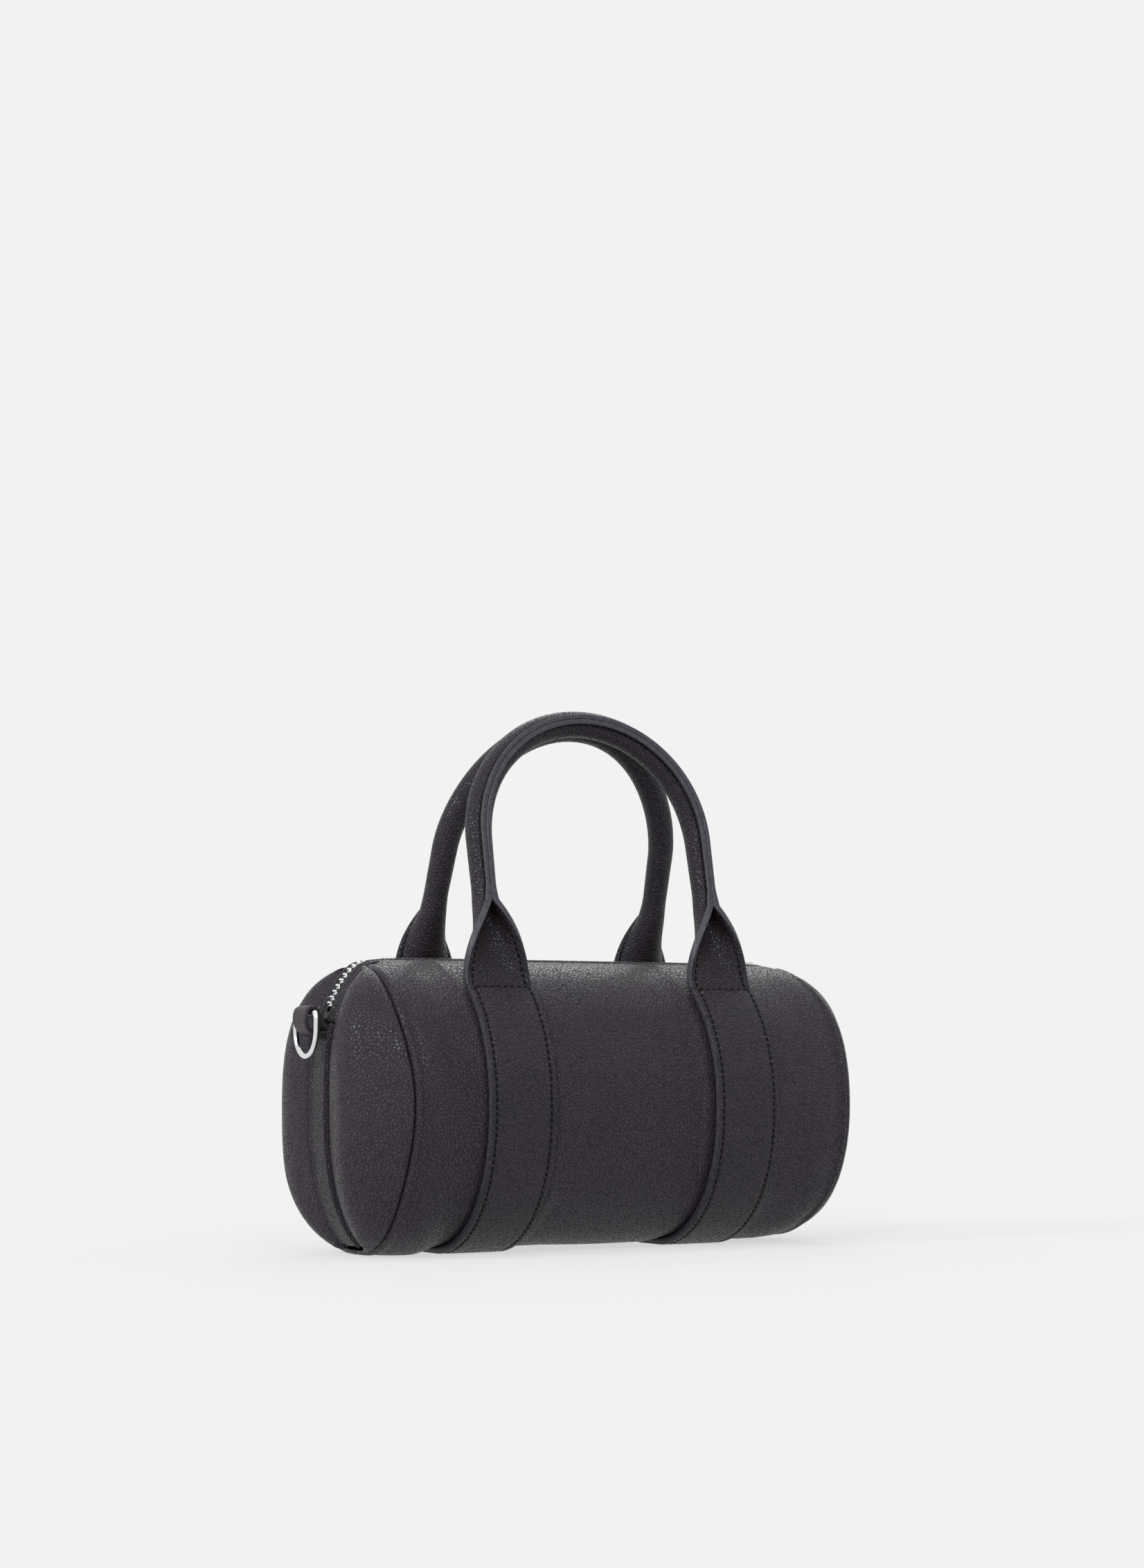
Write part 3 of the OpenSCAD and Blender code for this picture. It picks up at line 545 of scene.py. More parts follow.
LEAF_STEPS, LEAF_ROLL, TO_SEAM_SHARE = (121, 64), 1.5, 1.15
LEAF_PAD, LEAF_SINK, LEAF_WAVE_HEIGHT = (0.3, 3.2, 2), (-0.7, 0, 1.8), 0.3
PAD_FULL_WIDTH, SINK_FULL_WIDTH, STRIP_FADE, SEAM_FADE = 20, 12, 9, 12
LEAF_WAVES = ((1, 15, 4, 1), (0.7, 9, -5, 2))


def leaf_surface(v, w, off):
    """Left front end panel by the CAD formula: height share v, share w from strip to seam. x goes
    from the end strips' ellipsoid to the seam by w squared, puffed out by half a sine wave. off
    is taken along a direction that turns from the end to the front."""
    z = v * LEAF_SHARE * SEAM_HALF_H
    y0 = STRIP_HALF + SEAM_GAP
    y = mix(y0, seam_y(z), w)
    seam = seam_x(z) + SEAM_GAP
    x = (mix(np.maximum(end_x(y0, z), seam), seam, w * w)
         + END_PUFF * np.sin(np.pi * w ** PUFF_SKEW) * np.sqrt(1 - v ** 4))
    turn = 90 * w ** WALL_TURN
    out_y, out_z = y / HALF_D, z / HALF_H
    length = np.sqrt(out_y ** 2 + out_z ** 2)
    return stack(-(x - off * cos(turn)), -(y - off * sin(turn) * out_y / length),
                 MID_Z + z - off * sin(turn) * out_z / length)


def leaf_relief(v, w, phase):
    """Height added to an end panel: edges that roll in, a pad before the seam, leather sunk
    beside the strip, and slow waves."""
    z = v * LEAF_SHARE * SEAM_HALF_H
    width = seam_y(z) - STRIP_HALF
    to_strip, to_seam = w * width, TO_SEAM_SHARE * (1 - w) * width
    r = np.minimum(LEAF_ROLL, width / 4)
    inside = ease(to_strip / STRIP_FADE) * ease(to_seam / SEAM_FADE)
    return (LEAF_WAVE_HEIGHT * slow_waves(z, w, phase, LEAF_WAVES) * inside
            + hump(to_seam, *LEAF_PAD) * ease(width / PAD_FULL_WIDTH)
            + hump(to_strip, *LEAF_SINK) * ease(width / SINK_FULL_WIDTH)
            - rolled(to_strip, r) - rolled(to_seam, r))


def end_panel(name, right, rear, phase):
    v = sin(90 * np.linspace(-1, 1, LEAF_STEPS[0]))[:, None]
    w = crowded(LEAF_STEPS[1], 0, 1, 0.5)[None, :]
    outer = leaf_surface(v, w, -leaf_relief(v, w, phase))
    outer, inner = sided(outer, leaf_surface(v, w, LEATHER), right, rear)
    obj = sheet_mesh(name + "_leather", sagged(outer), sagged(inner), [body_leather],
                     flip=rear == right)
    return dress(obj, "bag", "body_leather", name)


# Strips, bindings and tapes along the top and down the ends

STRIP_STEPS, STRIP_TURN_R = (141, 52), 60
CORD_RIB, PLAIN_RIB, RIB_PLACE, RIB_WIDTH = 1.6, 0.25, 1.4, 0.95
STRIP_CREASE, STRIP_ROLL, STRIP_END_ROLL = (-0.4, 3.5, 0.9), 1.3, 1.2
BAND_STEPS, BINDING_STEPS, TAPE_STEPS = 90, 29, 19
BINDING_RIB, BINDING_CREASE = (0.7, 1.3, 0.95), (-0.35, 3.0, 0.5)
BINDING_ROLL, BINDING_END_ROLL, TAPE_BEAD = 1.0, 0.8, (0.3, 0.3, 0.6)


def strip_point(a, y, off):
    """Point of an end strip: an ellipse in x and z, narrowed with y as an ellipsoid is."""
    k = np.sqrt(1 - (y / HALF_D) ** 2)
    return stack(-(TURN_X + (TURN_REACH - off) * k * cos(a)), y,
                 MID_Z + (HALF_H - off) * k * sin(a))


def top_point(p, y, off, low):
    """Point of a band over the top: straight while p is within 1, and beyond it turned down both
    ends on an ellipse, to the angle low at p = 2."""
    k = np.sqrt(1 - (y / HALF_D) ** 2)
    a = 90 - (90 - low) * np.clip(np.abs(p) - 1, 0, None)
    reach = np.where(np.abs(p) > 1, (TURN_REACH - off) * k * cos(a), 0)
    return stack(np.sign(p) * (np.minimum(np.abs(p), 1) * TURN_X + reach), y,
                 MID_Z + (HALF_H - off) * k * sin(a))


def end_strip(name, right):
    """Strip with a cord-like folded rib along its front edge, a plain seam along its rear edge
    and a roll at its upper and lower ends."""
    edge = STRIP_HALF - SEAM_GAP
    a = np.linspace(STRIP_FOOT, STRIP_TOP, STRIP_STEPS[0])[:, None]
    y = crowded(STRIP_STEPS[1], edge, -edge, 0.5)[None, :]
    to_edge = edge - np.abs(y)
    to_end = STRIP_TURN_R * np.radians(np.minimum(a - STRIP_FOOT, STRIP_TOP - a))
    relief = (hump(to_edge, np.where(y < 0, CORD_RIB, PLAIN_RIB), RIB_PLACE, RIB_WIDTH)
              + hump(to_edge, *STRIP_CREASE)
              - rolled(to_edge, STRIP_ROLL) - rolled(to_end, STRIP_END_ROLL))
    outer, inner = sided(strip_point(a, y, -relief), strip_point(a, y, LEATHER), right)
    obj = sheet_mesh(name + "_leather", sagged(outer), sagged(inner), [trim_leather],
                     flip=not right)
    return dress(obj, "bag", "trim_leather", name)


def band_sheet(name, y, outer_off, inner_off, rear, material):
    """Closed band over the top between two depths below the body's surface."""
    outer, inner = (cornered(top_point(band_steps(BAND_STEPS), -y, off, BINDING_LOW),
                             BAND_LIFT, BAND_REACH) for off in (outer_off, inner_off))
    outer, inner = sided(outer, inner, rear=rear)
    return sheet_mesh(name, outer, inner, [material], flip=rear)


def band_steps(n):
    """Places along a band over the top, closer together on the turned ends."""
    return np.concatenate([np.linspace(-2, -1, n)[:-1], np.linspace(-1, 1, 2 * n),
                           np.linspace(1, 2, n)[1:]])[:, None]


def zip_binding(name, rear):
    """Leather folded over beside the zip: flat from the panel, then a half-round rib along the
    opening."""
    y = np.linspace(STRIP_HALF - SEAM_GAP, BINDING_HALF, BINDING_STEPS)[None, :]
    to_zip, to_panel = y - BINDING_HALF, STRIP_HALF - SEAM_GAP - y
    rib = (hump(to_zip, *BINDING_RIB) + hump(to_zip, *BINDING_CREASE)
           - rolled(to_zip, BINDING_ROLL) - rolled(to_panel, BINDING_END_ROLL))
    obj = band_sheet(name + "_leather", y, -rib, ZIP_DEPTH - TAPE / 2 - SEAM_GAP, rear,
                     trim_leather)
    return dress(obj, "bag", "trim_leather", name)


def zip_tape(name, rear):
    """Woven tape with a corded bead along the edge that carries the teeth."""
    p = np.abs(band_steps(BAND_STEPS))
    edge = TOOTH_REACH - JAW_DEPTH
    y = np.linspace(STRIP_HALF - SEAM_GAP, edge, TAPE_STEPS)[None, :]
    high, inside, width = TAPE_BEAD
    bead = hump(y, high, edge + inside, width)
    rise = zip_rise(TURN_X * np.minimum(p, 1) + STRIP_TURN_R * np.maximum(p - 1, 0))
    rise = rise * ease((ZIP_HALF - y) / 3)
    obj = band_sheet(name + "_weave", y, ZIP_DEPTH - TAPE / 2 - bead - rise,
                     ZIP_DEPTH + TAPE / 2 + bead - rise, rear, tape_weave)
    return dress(obj, "bag", "zip_tape", name)


# Zip chain

CHAIN_ANGLES = np.arange(90, math.ceil(CHAIN_LOW) - 2, -1.0)
CHAIN_STEPS = np.hypot(CHAIN_R * sin(CHAIN_ANGLES), CHAIN_H * cos(CHAIN_ANGLES)) * np.pi / 180
CHAIN_LENGTHS = np.concatenate([[0], np.cumsum(CHAIN_STEPS[:-1])])
CHAIN_HALF = TURN_X + CHAIN_LENGTHS[-1]
JAW_HALF, JAW_PLACE = (0.6, 1.0, 1.25), 2.05
KNOB_HALF, KNOB_PLACE, KNOB_SQUARE = (0.62, 1.15, 1.0), 0.45, 0.62
STOP_HALF = (0.7 * TOOTH_PITCH, 0.75 * TOOTH_REACH, 0.36 * TOOTH_HEIGHT)
STOP_SINK, STOP_SQUARE = 0.3, 0.3


def zip_rise(past):
    """Beyond the slider's run the chain and its tapes stand CHAIN_LIFT nearer to the surface."""
    return CHAIN_LIFT * ramp(past, *LIFT_ZONE)


def on_chain(s):
    """Places and directions at the lengths s along the chain: along it, across it and out."""
    side = np.sign(s)
    a = np.interp(np.maximum(0, np.abs(s) - TURN_X), CHAIN_LENGTHS, CHAIN_ANGLES)
    straight = np.abs(s) <= TURN_X
    x = np.where(straight, s, side * (TURN_X + CHAIN_R * cos(a)))
    z = MID_Z + CHAIN_H * sin(a)
    turned = np.degrees(np.arctan2(CHAIN_H * cos(a), CHAIN_R * sin(a)))
    tilt = np.where(straight, 0, side * turned)
    along, out = stack(cos(tilt), 0, -sin(tilt)), stack(sin(tilt), 0, cos(tilt))
    place = stack(x, 0, z) + out * zip_rise(np.abs(s))[:, None]
    return cornered(place, BAND_LIFT, BAND_REACH), along, np.cross(out, along), out


def rounded_block(half, centre=(0, 0, 0), rings=8, turns=12, square=0.45):
    """Superellipsoid: sines and cosines of two angles, each raised to the power square."""
    t = np.linspace(-90, 90, rings)[:, None]
    q = np.linspace(0, 360, turns, endpoint=False)[None, :]
    level, high = signed_power(cos(t), square), signed_power(sin(t), square)
    points = stack(level * signed_power(cos(q), square), level * signed_power(sin(q), square),
                   high)
    points = points * np.array(half) + np.array(centre)
    return points.reshape(-1, 3), grid_faces(rings, turns, close=True)


def chain_parts(name, s, shape, faces, metal):
    """Copies of a shape at the lengths s along the chain."""
    place, along, across, out = on_chain(s)
    obj = copies_mesh(name + "_metal", shape, faces, place, np.stack([along, across, out], 1),
                      [metal])
    return dress(obj, "bag", "zip_metal", name)


def zip_teeth(name, rear):
    """Each tooth is a rounded jaw over the tape's bead and a knob that reaches between the two
    knobs across from it. The rows are offset by half a pitch."""
    last = CHAIN_HALF - 1.5 * TOOTH_PITCH - SLIDER_GAP - TOOTH_THICKNESS / 2
    count = math.floor(last / TOOTH_PITCH + 0.25)
    s = (np.arange(-count, count) + (0.75 if rear else 0.25)) * TOOTH_PITCH
    side = 1 if rear else -1
    jaw, jaw_faces = rounded_block(JAW_HALF, (0, side * JAW_PLACE, 0))
    knob, knob_faces = rounded_block(KNOB_HALF, (0, side * KNOB_PLACE, 0), square=KNOB_SQUARE)
    return chain_parts(name, s, np.concatenate([jaw, knob]),
                       np.concatenate([jaw_faces, knob_faces + len(jaw)]), zip_nickel)


def zip_stop(name, right):
    s = CHAIN_HALF - 0.75 * TOOTH_PITCH
    block, faces = rounded_block(STOP_HALF, (0, 0, -STOP_SINK), 16, 32, STOP_SQUARE)
    # Near-black metal: painted shade in place of the plated zip metal.
    return chain_parts(name, np.array([s if right else -s]), block, faces, shaded_stop_metal)


# Straps

STRAP_EDGE_R, EDGE_POINTS, FACE_STEPS = 1.1, 13, 70
FACE_RISE, FACE_RUN, STITCH_GROOVE = 0.18, 8, (-0.45, STITCH_INSET, 0.65)
CROSS_GROOVE, CROSS_MARGIN, CROSS_FADE = (0.5, CROSS_ANGLE, 0.45), 0.4, 0.6
FAR_ANGLE, NEAR_END, NEAR_STEPS, STRAP_STEPS = -180 - HINGE_ANGLE, 3, 15, 236


def strap_profile():
    """Outline of a strap, across and out: a nearly flat band with rounded painted edges and a
    shallow stitched groove. Returns the closed outline and which of its spans are paint."""
    w, t = STRAP_WIDTH / 2 - STRAP_EDGE_R, STRAP_THICKNESS
    q = np.linspace(-90, 90, EDGE_POINTS)
    edge = stack(w + STRAP_EDGE_R * cos(q) ** EDGE_BLUNT,
                 t / 2 + t / 2 * signed_power(sin(q), EDGE_FULL))
    x = crowded(FACE_STEPS, w, -w, 0.5)[1:-1]
    to_edge = STRAP_WIDTH / 2 - np.abs(x)
    top = stack(x, t + FACE_RISE * ease(to_edge / FACE_RUN) + hump(to_edge, *STITCH_GROOVE))
    other = edge[::-1] * np.array([-1, 1])
    outline = np.concatenate([edge, top, other, stack(-x, 0)])
    paint = np.zeros(len(outline), int)
    for first in (0, len(edge) + len(top) + len(other) - 1 - PAINTED_SPANS):
        paint[first:first + PAINTED_SPANS] = 1
    return outline, paint


def strap_place(a, out):
    """Point on a strap at angle a round the body's superellipse, out from the strap's inner face.
    It is pressed flat where it meets the ground."""
    y, z = section(a, STRAP_GAP + out)
    return y, np.maximum(0, MID_Z + z)


def strap(name, middle):
    outline, paint = strap_profile()
    near = np.linspace(0, NEAR_END, NEAR_STEPS)
    a = np.concatenate([HINGE_ANGLE - near[:-1],
                        np.linspace(HINGE_ANGLE - NEAR_END, FAR_ANGLE + NEAR_END, STRAP_STEPS),
                        FAR_ANGLE + near[::-1][1:]])[:, None]
    to_end = np.minimum(HINGE_ANGLE - a, a - FAR_ANGLE)
    to_row = STRAP_WIDTH / 2 - STITCH_INSET + CROSS_MARGIN - np.abs(outline[:, 0])
    outside = outline[:, 1] > STRAP_THICKNESS / 2
    groove = ease(to_row / CROSS_FADE) * outside * hump(to_end, *CROSS_GROOVE)
    y, z = strap_place(a, outline[:, 1] - groove)
    rings = stack(middle + outline[:, 0], y, z)
    obj = tube_mesh(name + "_leather", rings, [trim_leather, edge_paint], band_slots=paint)
    return dress(obj, "bag", "trim_leather", name)


# Handles

HINGE_Y, HINGE_Z = (float(c) for c in section(HINGE_ANGLE, STRAP_GAP + STRAP_THICKNESS))
HINGE_Z += MID_Z
HANDLE_LEAN = math.degrees(math.asin((-HINGE_Y - HANDLE_APART / 2) / HANDLE_RISE))
ARCH_R = HANDLE_SPREAD / 2
ARCH_H = HANDLE_RISE - ARCH_R
ROLL_R = HANDLE_R - HANDLE_WALL / 2
LEG_TOP = 1.25 * FOLD_END
STRAP_SLOPE = math.degrees(math.atan2(HALF_D * sin(HINGE_ANGLE), HALF_H * cos(HINGE_ANGLE)))
HINGE_TURN = math.tan(math.radians(STRAP_SLOPE - HANDLE_LEAN)) - HANDLE_BOW / BOW_HEIGHT
HINGE_RUN, FOLD_POWER, FILLET_R, FLANGE_RUN, FLANGE_GAP = 7.0, 1.25, 1.5, 1.5, 0.04
EDGE_REACH, EDGE_LENGTHEN, EDGE_WIDEN, HALF_POINTS = 0.55, 0.6, 0.8, 64
ROW_DEPTH, ROW_WIDTH = 0.45, 0.7
ARCH_FULLNESS, FULL_ZONE = 0.1, (40, 50)
ARCH_LIFT, LIFTED_ZONE = 0.6, (70, 40)
FRONT_SWAY, FRONT_SHIFT = 2.0, (-1.1, 50, 45)
REAR_WIDEN, REAR_NARROW, NARROW_ZONE = (0.022, 38, 38), 0.05, (60, 60)
BEND_ZONE, OPEN_LEG = (2.0, 12.0), 33
HINGE_WAY = np.array([0, sin(HANDLE_LEAN), cos(HANDLE_LEAN)])
HINGE_AT = np.array([0, HINGE_Y, HINGE_Z])
CORD_R, CORD_LAY, STRAND_DEPTH = 2.6, 18, 0.09


def fold_at(h):
    return np.clip(h / FOLD_END, 0, 1) ** FOLD_POWER


def wall_at(h):
    return mix(STRAP_THICKNESS, HANDLE_WALL, ease((h / LEG_TOP - THIN_SHARE) / (1 - THIN_SHARE)))


def half_fold(fold, wall):
    """Half of the folded leather's middle line, from its back to its edge, for arrays of folds
    and walls. Fully rolled, its heading follows a circle until a fillet turns it back to the
    flange, so that both edges meet. All headings are times the fold, and the points are the
    running sum of the steps. Returns points, headings and whole lengths."""
    roll = 180 - np.degrees(np.arcsin((wall / 2 + FLANGE_GAP + FILLET_R) / (ROLL_R + FILLET_R)))
    round_run = ROLL_R * np.radians(roll)
    whole = round_run + FILLET_R * np.radians(roll - 90) + FLANGE_RUN
    run = np.linspace(0, 1, HALF_POINTS)[None, :] * whole[:, None]
    back = np.degrees(np.maximum(0, run - round_run[:, None]) / FILLET_R)
    turn = np.minimum(np.degrees(run / ROLL_R), np.maximum(90, roll[:, None] - back))
    heading = fold[:, None] * turn
    total = mix(STRAP_WIDTH / 2 - EDGE_REACH, whole, fold)
    step = total[:, None] / (HALF_POINTS - 1)
    middle = (heading[:, 1:] + heading[:, :-1]) / 2
    x = np.concatenate([0 * step, np.cumsum(cos(middle) * step, 1)], 1)
    y = np.concatenate([0 * step, np.cumsum(sin(middle) * step, 1)], 1)
    return stack(x, y), heading, total


def fold_outline(fold, wall):
    """Closed outline of the folded leather: the outside, a rounded painted edge, the inside and
    the other painted edge, with a shallow groove under each row of stitches. Returns x across and
    y outwards, for arrays of folds and walls."""
    line, heading, total = half_fold(fold, wall)
    left = mirrored(line[:, :0:-1], 0)
    middle = np.concatenate([left, line], 1)
    angle = np.concatenate([-heading[:, :0:-1], heading], 1)
    to_edge = total[:, None] * (1 - np.abs(np.linspace(-1, 1, middle.shape[1])))[None, :]
    inset = mix(STITCH_INSET, FLANGE_INSET, fold)[:, None]
    half = (wall[:, None] / 2 - hump(to_edge, ROW_DEPTH, inset, ROW_WIDTH))[:, :, None]
    normal = stack(-sin(angle), cos(angle))
    q = np.linspace(-90, 90, 11)[1:-1]
    reach, side = EDGE_REACH * cos(q) ** EDGE_LENGTHEN, signed_power(sin(q), EDGE_WIDEN)

    def cap(at, way):
        """Rounded edge beyond the line's end, from its outside to its inside for way 1."""
        ahead = stack(cos(angle[:, at]), sin(angle[:, at]))[:, None, :] * way
        return (middle[:, at][:, None, :] + ahead * reach[None, :, None]
                + normal[:, at][:, None, :] * half[:, at][:, None] * side[None, :, None] * way)

    back = mix(-STRAP_THICKNESS / 2, -ROLL_R, fold)
    outline = np.concatenate([middle - half * normal, cap(-1, 1),
                              (middle + half * normal)[:, ::-1], cap(0, -1)], 1)
    outline[..., 1] += back[:, None]
    n, k = middle.shape[1], len(q)
    paint = np.zeros(2 * (n + k), int)
    paint[n - 1:n + k] = 1
    paint[2 * n + k - 1:] = 1
    return outline, paint


def arched_line(x, h, steps):
    """Line in the handle's own plane: up a leg at x and the heights h, round the arch and down
    the other leg. Its points are x, height and angle of travel."""
    a = np.linspace(180, 0, steps + 1)
    return np.concatenate([stack(-x, h, 90),
                           stack(ARCH_R * cos(a), ARCH_H + ARCH_R * sin(a), a - 90),
                           stack(x, h, -90)[::-1]])


def handle_line(leg_steps, arch_steps):
    h = crowded(leg_steps, 0.0, LEG_TOP, 0.2)
    return arched_line(mix(STRAP_SPREAD, HANDLE_SPREAD, ease(h / LEG_TOP)) / 2, h, arch_steps)


def bow(h):
    """How far the handle bows inwards at a height, and the slope of that curve. It leaves the
    strap in the strap's own direction: HINGE_TURN h times e to the minus h over HINGE_RUN."""
    h = np.maximum(h, 0)
    fade, rest = np.exp(-h / BOW_HEIGHT), 1 - h / HANDLE_RISE
    near = HINGE_TURN * np.exp(-h / HINGE_RUN)
    return (HANDLE_BOW * (1 - fade) * rest + h * near,
            HANDLE_BOW * (fade * rest / BOW_HEIGHT - (1 - fade) / HANDLE_RISE)
            + near * (1 - h / HINGE_RUN))


def handle_points(line, outline, rear):
    """Carries outlines along the handle's line and into the frame. The outward direction follows
    the line's own slope. Both tops hang to one side, the rear arch is a little narrower than its
    legs, and the rolls are fuller along the arch."""
    x, h, a = (line[:, i][:, None] for i in range(3))
    full = 1 + ARCH_FULLNESS * ramp(h, *FULL_ZONE)
    across, out = outline[..., 0] * full, outline[..., 1] * full
    rise = h - across * cos(a) + ARCH_LIFT * ramp(h, *LIFTED_ZONE)
    inwards, share = bow(rise)[0], rise / HANDLE_RISE
    if rear:
        x = x * (1 + hump(h, *REAR_WIDEN) - REAR_NARROW * ramp(h, *NARROW_ZONE))
    else:
        x = x + hump(h, *FRONT_SHIFT)
    sway = REAR_SWAY * share if rear else FRONT_SWAY * share ** 2
    slope = HANDLE_LEAN + np.degrees(np.arctan(bow(h)[1]))
    y = HINGE_Y + rise * sin(HANDLE_LEAN) + inwards * cos(HANDLE_LEAN) - out * cos(slope)
    z = HINGE_Z + rise * cos(HANDLE_LEAN) - inwards * sin(HANDLE_LEAN) + out * sin(slope)
    points = stack(x + across * sin(a) + sway, y, z)
    return mirrored(points, 1) if rear else points


def bend_at_hinge(obj, body, rear):
    """Bakes the piece's place into its mesh. The bend zone above the cross stitch is passed on
    but not used.
    """
    flip = np.array([1, -1 if rear else 1, 1])
    start, end = ((HINGE_AT + HINGE_WAY * h) * flip / METRE for h in BEND_ZONE)
    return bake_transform(obj, "bag", body, start=tuple(start), end=tuple(end))


def handle(name, rear):
    line = handle_line(56, 120)
    outline, paint = fold_outline(fold_at(line[:, 1]), wall_at(line[:, 1]))
    obj = tube_mesh(name + "_leather", handle_points(line, outline, rear),
                    [trim_leather, edge_paint], band_slots=paint, flip=rear)
    dress(obj, None, "trim_leather", name)
    return bend_at_hinge(obj, name, rear)


def lengths(path):
    """Length of a path up to each of its points."""
    return np.concatenate([[0], np.cumsum(np.linalg.norm(np.diff(path, axis=0), axis=1))])


def handle_cord(name, rear):
    """Laid cord inside the roll: three strands that turn round it once every 18 mm."""
    line = arched_line(ARCH_R, np.linspace(LEG_TOP, ARCH_H, 8)[:-1], 160)
    laid = 360 / CORD_LAY * lengths(line[:, :2])[:, None]
    q = np.linspace(0, 360, 24, endpoint=False)
    r = CORD_R * (1 - STRAND_DEPTH * np.abs(sin(1.5 * (q[None, :] - laid))))
    obj = tube_mesh(name + "_strands", handle_points(line, stack(r * cos(q), r * sin(q)), rear),
                    [cord_weave], flip=not rear)
    return dress(obj, name.replace("_cord", ""), "handle_cord", name)


# Stitches

ROW_START, WAY_SPAN, CROSS_THREAD, ROW_POINTS, CROSS_POINTS = 0.8, 0.3, 0.15, 400, 60


def along_path(path, normal):
    """Stitch places on a path of points: middles at even steps of its length, with its direction
    and its outward direction there."""
    run = lengths(path)
    count = int(run[-1] / STITCH_PITCH)
    s = (np.arange(count) + 0.5) * run[-1] / count

    def at(values, t):
        return np.stack([np.interp(t, run, values[:, i]) for i in range(3)], -1)

    way = unit(at(path, s + WAY_SPAN) - at(path, s - WAY_SPAN))
    return at(path, s), way, unit(at(normal, s))


def stitches(name, rows):
    """Thread stitches on several rows of (path, outward directions): small spindles, each turned
    7 degrees from its row, as a lock stitch lies."""
    half = (STITCH_LENGTH / 2, STITCH_R, STITCH_R)
    shape, faces = rounded_block(half, rings=6, turns=7, square=0.8)
    places, axes = [], []
    for path, normal in rows:
        at, way, out = along_path(path, normal)
        turned = unit(way + STITCH_LEAN * unit(np.cross(out, way)))
        places.append(at)
        axes.append(np.stack([turned, unit(np.cross(out, turned)), out], 1))
    return copies_mesh(name, shape, faces, np.concatenate(places), np.concatenate(axes), [thread])


def strap_stitches(name, middle):
    """Two rows inside the strap's edges and the cross stitch at both of its ends."""
    a = np.linspace(HINGE_ANGLE - ROW_START, FAR_ANGLE + ROW_START, ROW_POINTS)
    reach = STRAP_WIDTH / 2 - STITCH_INSET
    lift = STRAP_THICKNESS - THREAD_SINK
    y, z = strap_place(a, lift)
    y2, z2 = strap_place(a, lift + 1)
    rows = []
    for x in (middle - reach, middle + reach):
        path = stack(x, y, np.maximum(z, STITCH_R + GROUND))
        rows.append((path, unit(stack(0, y2 - y, z2 - z + 1e-6))))
    x = np.linspace(middle - reach, middle + reach, CROSS_POINTS)
    for end in (HINGE_ANGLE - CROSS_ANGLE, FAR_ANGLE + CROSS_ANGLE):
        y, z = strap_place(np.array(end), lift + CROSS_THREAD)
        y2, z2 = strap_place(np.array(end), lift + CROSS_THREAD + 1)
        rows.append((stack(x, y, z), stack(0 * x, y2 - y, z2 - z)))
    return dress(stitches(name, rows), "bag", "trim_leather")


def handle_stitches(name, body, rear):
    """Rows along both flanges, outside all the way and inside as far as the fold is open."""
    line = handle_line(110, 200)
    fold, wall = fold_at(line[:, 1]), wall_at(line[:, 1])
    middle, heading, total = half_fold(fold, wall)
    inset = mix(STITCH_INSET, FLANGE_INSET, fold)
    at = (1 - inset / total) * (HALF_POINTS - 1)
    low = np.floor(at).astype(int)
    part = (at - low)[:, None]
    row = np.arange(len(line))
    point = mix(middle[row, low], middle[row, low + 1], part)
    angle = mix(heading[row, low], heading[row, low + 1], part[:, 0])
    normal = stack(-sin(angle), cos(angle))
    back = mix(-STRAP_THICKNESS / 2, -ROLL_R, fold)
    half = len(line) // 2
    low_part = line[:, 1] < OPEN_LEG
    legs = [np.flatnonzero(low_part[:half]), half + np.flatnonzero(low_part[half:])]
    rows = []
    for side in (-1, 1):
        for face in (-1, 1):
            surface = point + normal * (face * (wall / 2 - THREAD_SINK))[:, None]
            ends = []
            for p in (surface, surface + normal * face):
                q = (p + stack(0, back)) * np.array([side, 1])
                ends.append(handle_points(line, q[:, None, :], rear)[:, 0])
            for keep in ([np.arange(len(line))] if face < 0 else legs):
                rows.append((ends[0][keep], (ends[1] - ends[0])[keep]))
    obj = dress(stitches(name, rows), None, "trim_leather")
    return bend_at_hinge(obj, body, rear)


# Rings and tabs

TAB_START = [[-10.2, -8.6], [-7.4, -6.2], [-4.9, -3.3], [-3.2, -0.6]]
TAB_END = [[2.9, -2.4], [2.6, -4.9], [1.3, -7.2], [-1.4, -8.9], [-5.4, -10.0], [-9.6, -11.0]]
TAB_OVER, TAB_NARROW, TAB_NARROW_ZONE = (150, 115, 80, 45, 10), 1.5, (0.62, 0.2)
TAB_WEAR, TAB_WEAR_TURN, TAB_EDGE_BLUNT = 0.06, 9, 0.8


def end_ring(name, right):
    """Ring of round wire: a straight bar, two tight corners, two arms and a half circle below."""
    arm = RING_DROP - RING_HALF
    bar = RING_HALF - RING_CORNER
    q = np.linspace(0, 90, 13)
    corner = stack(bar + RING_CORNER * sin(q), -RING_CORNER + RING_CORNER * cos(q))
    b = np.linspace(0, 180, 49)
    foot = stack(RING_HALF * cos(b), -arm - RING_HALF * sin(b))
    path = np.concatenate([stack(np.linspace(-bar, bar, 13)[:-1], 0), corner,
                           foot, (corner * np.array([-1, 1]))[::-1][:-1]])
    way = unit(np.roll(path, -1, 0) - np.roll(path, 1, 0))
    normal = stack(way[:, 1], -way[:, 0])
    t = np.linspace(0, 360, 20, endpoint=False)
    y = path[:, None, 0] + RING_WIRE * cos(t) * normal[:, None, 0]
    z = path[:, None, 1] + RING_WIRE * cos(t) * normal[:, None, 1]
    side = 1 if right else -1
    rings = stack(side * RING_X + RING_WIRE * sin(t), y, RING_Z + z)
    obj = tube_mesh(name + "_wire", rings, [ring_nickel], closed=True, flip=True)
    return dress(obj, name, "ring_metal", name)


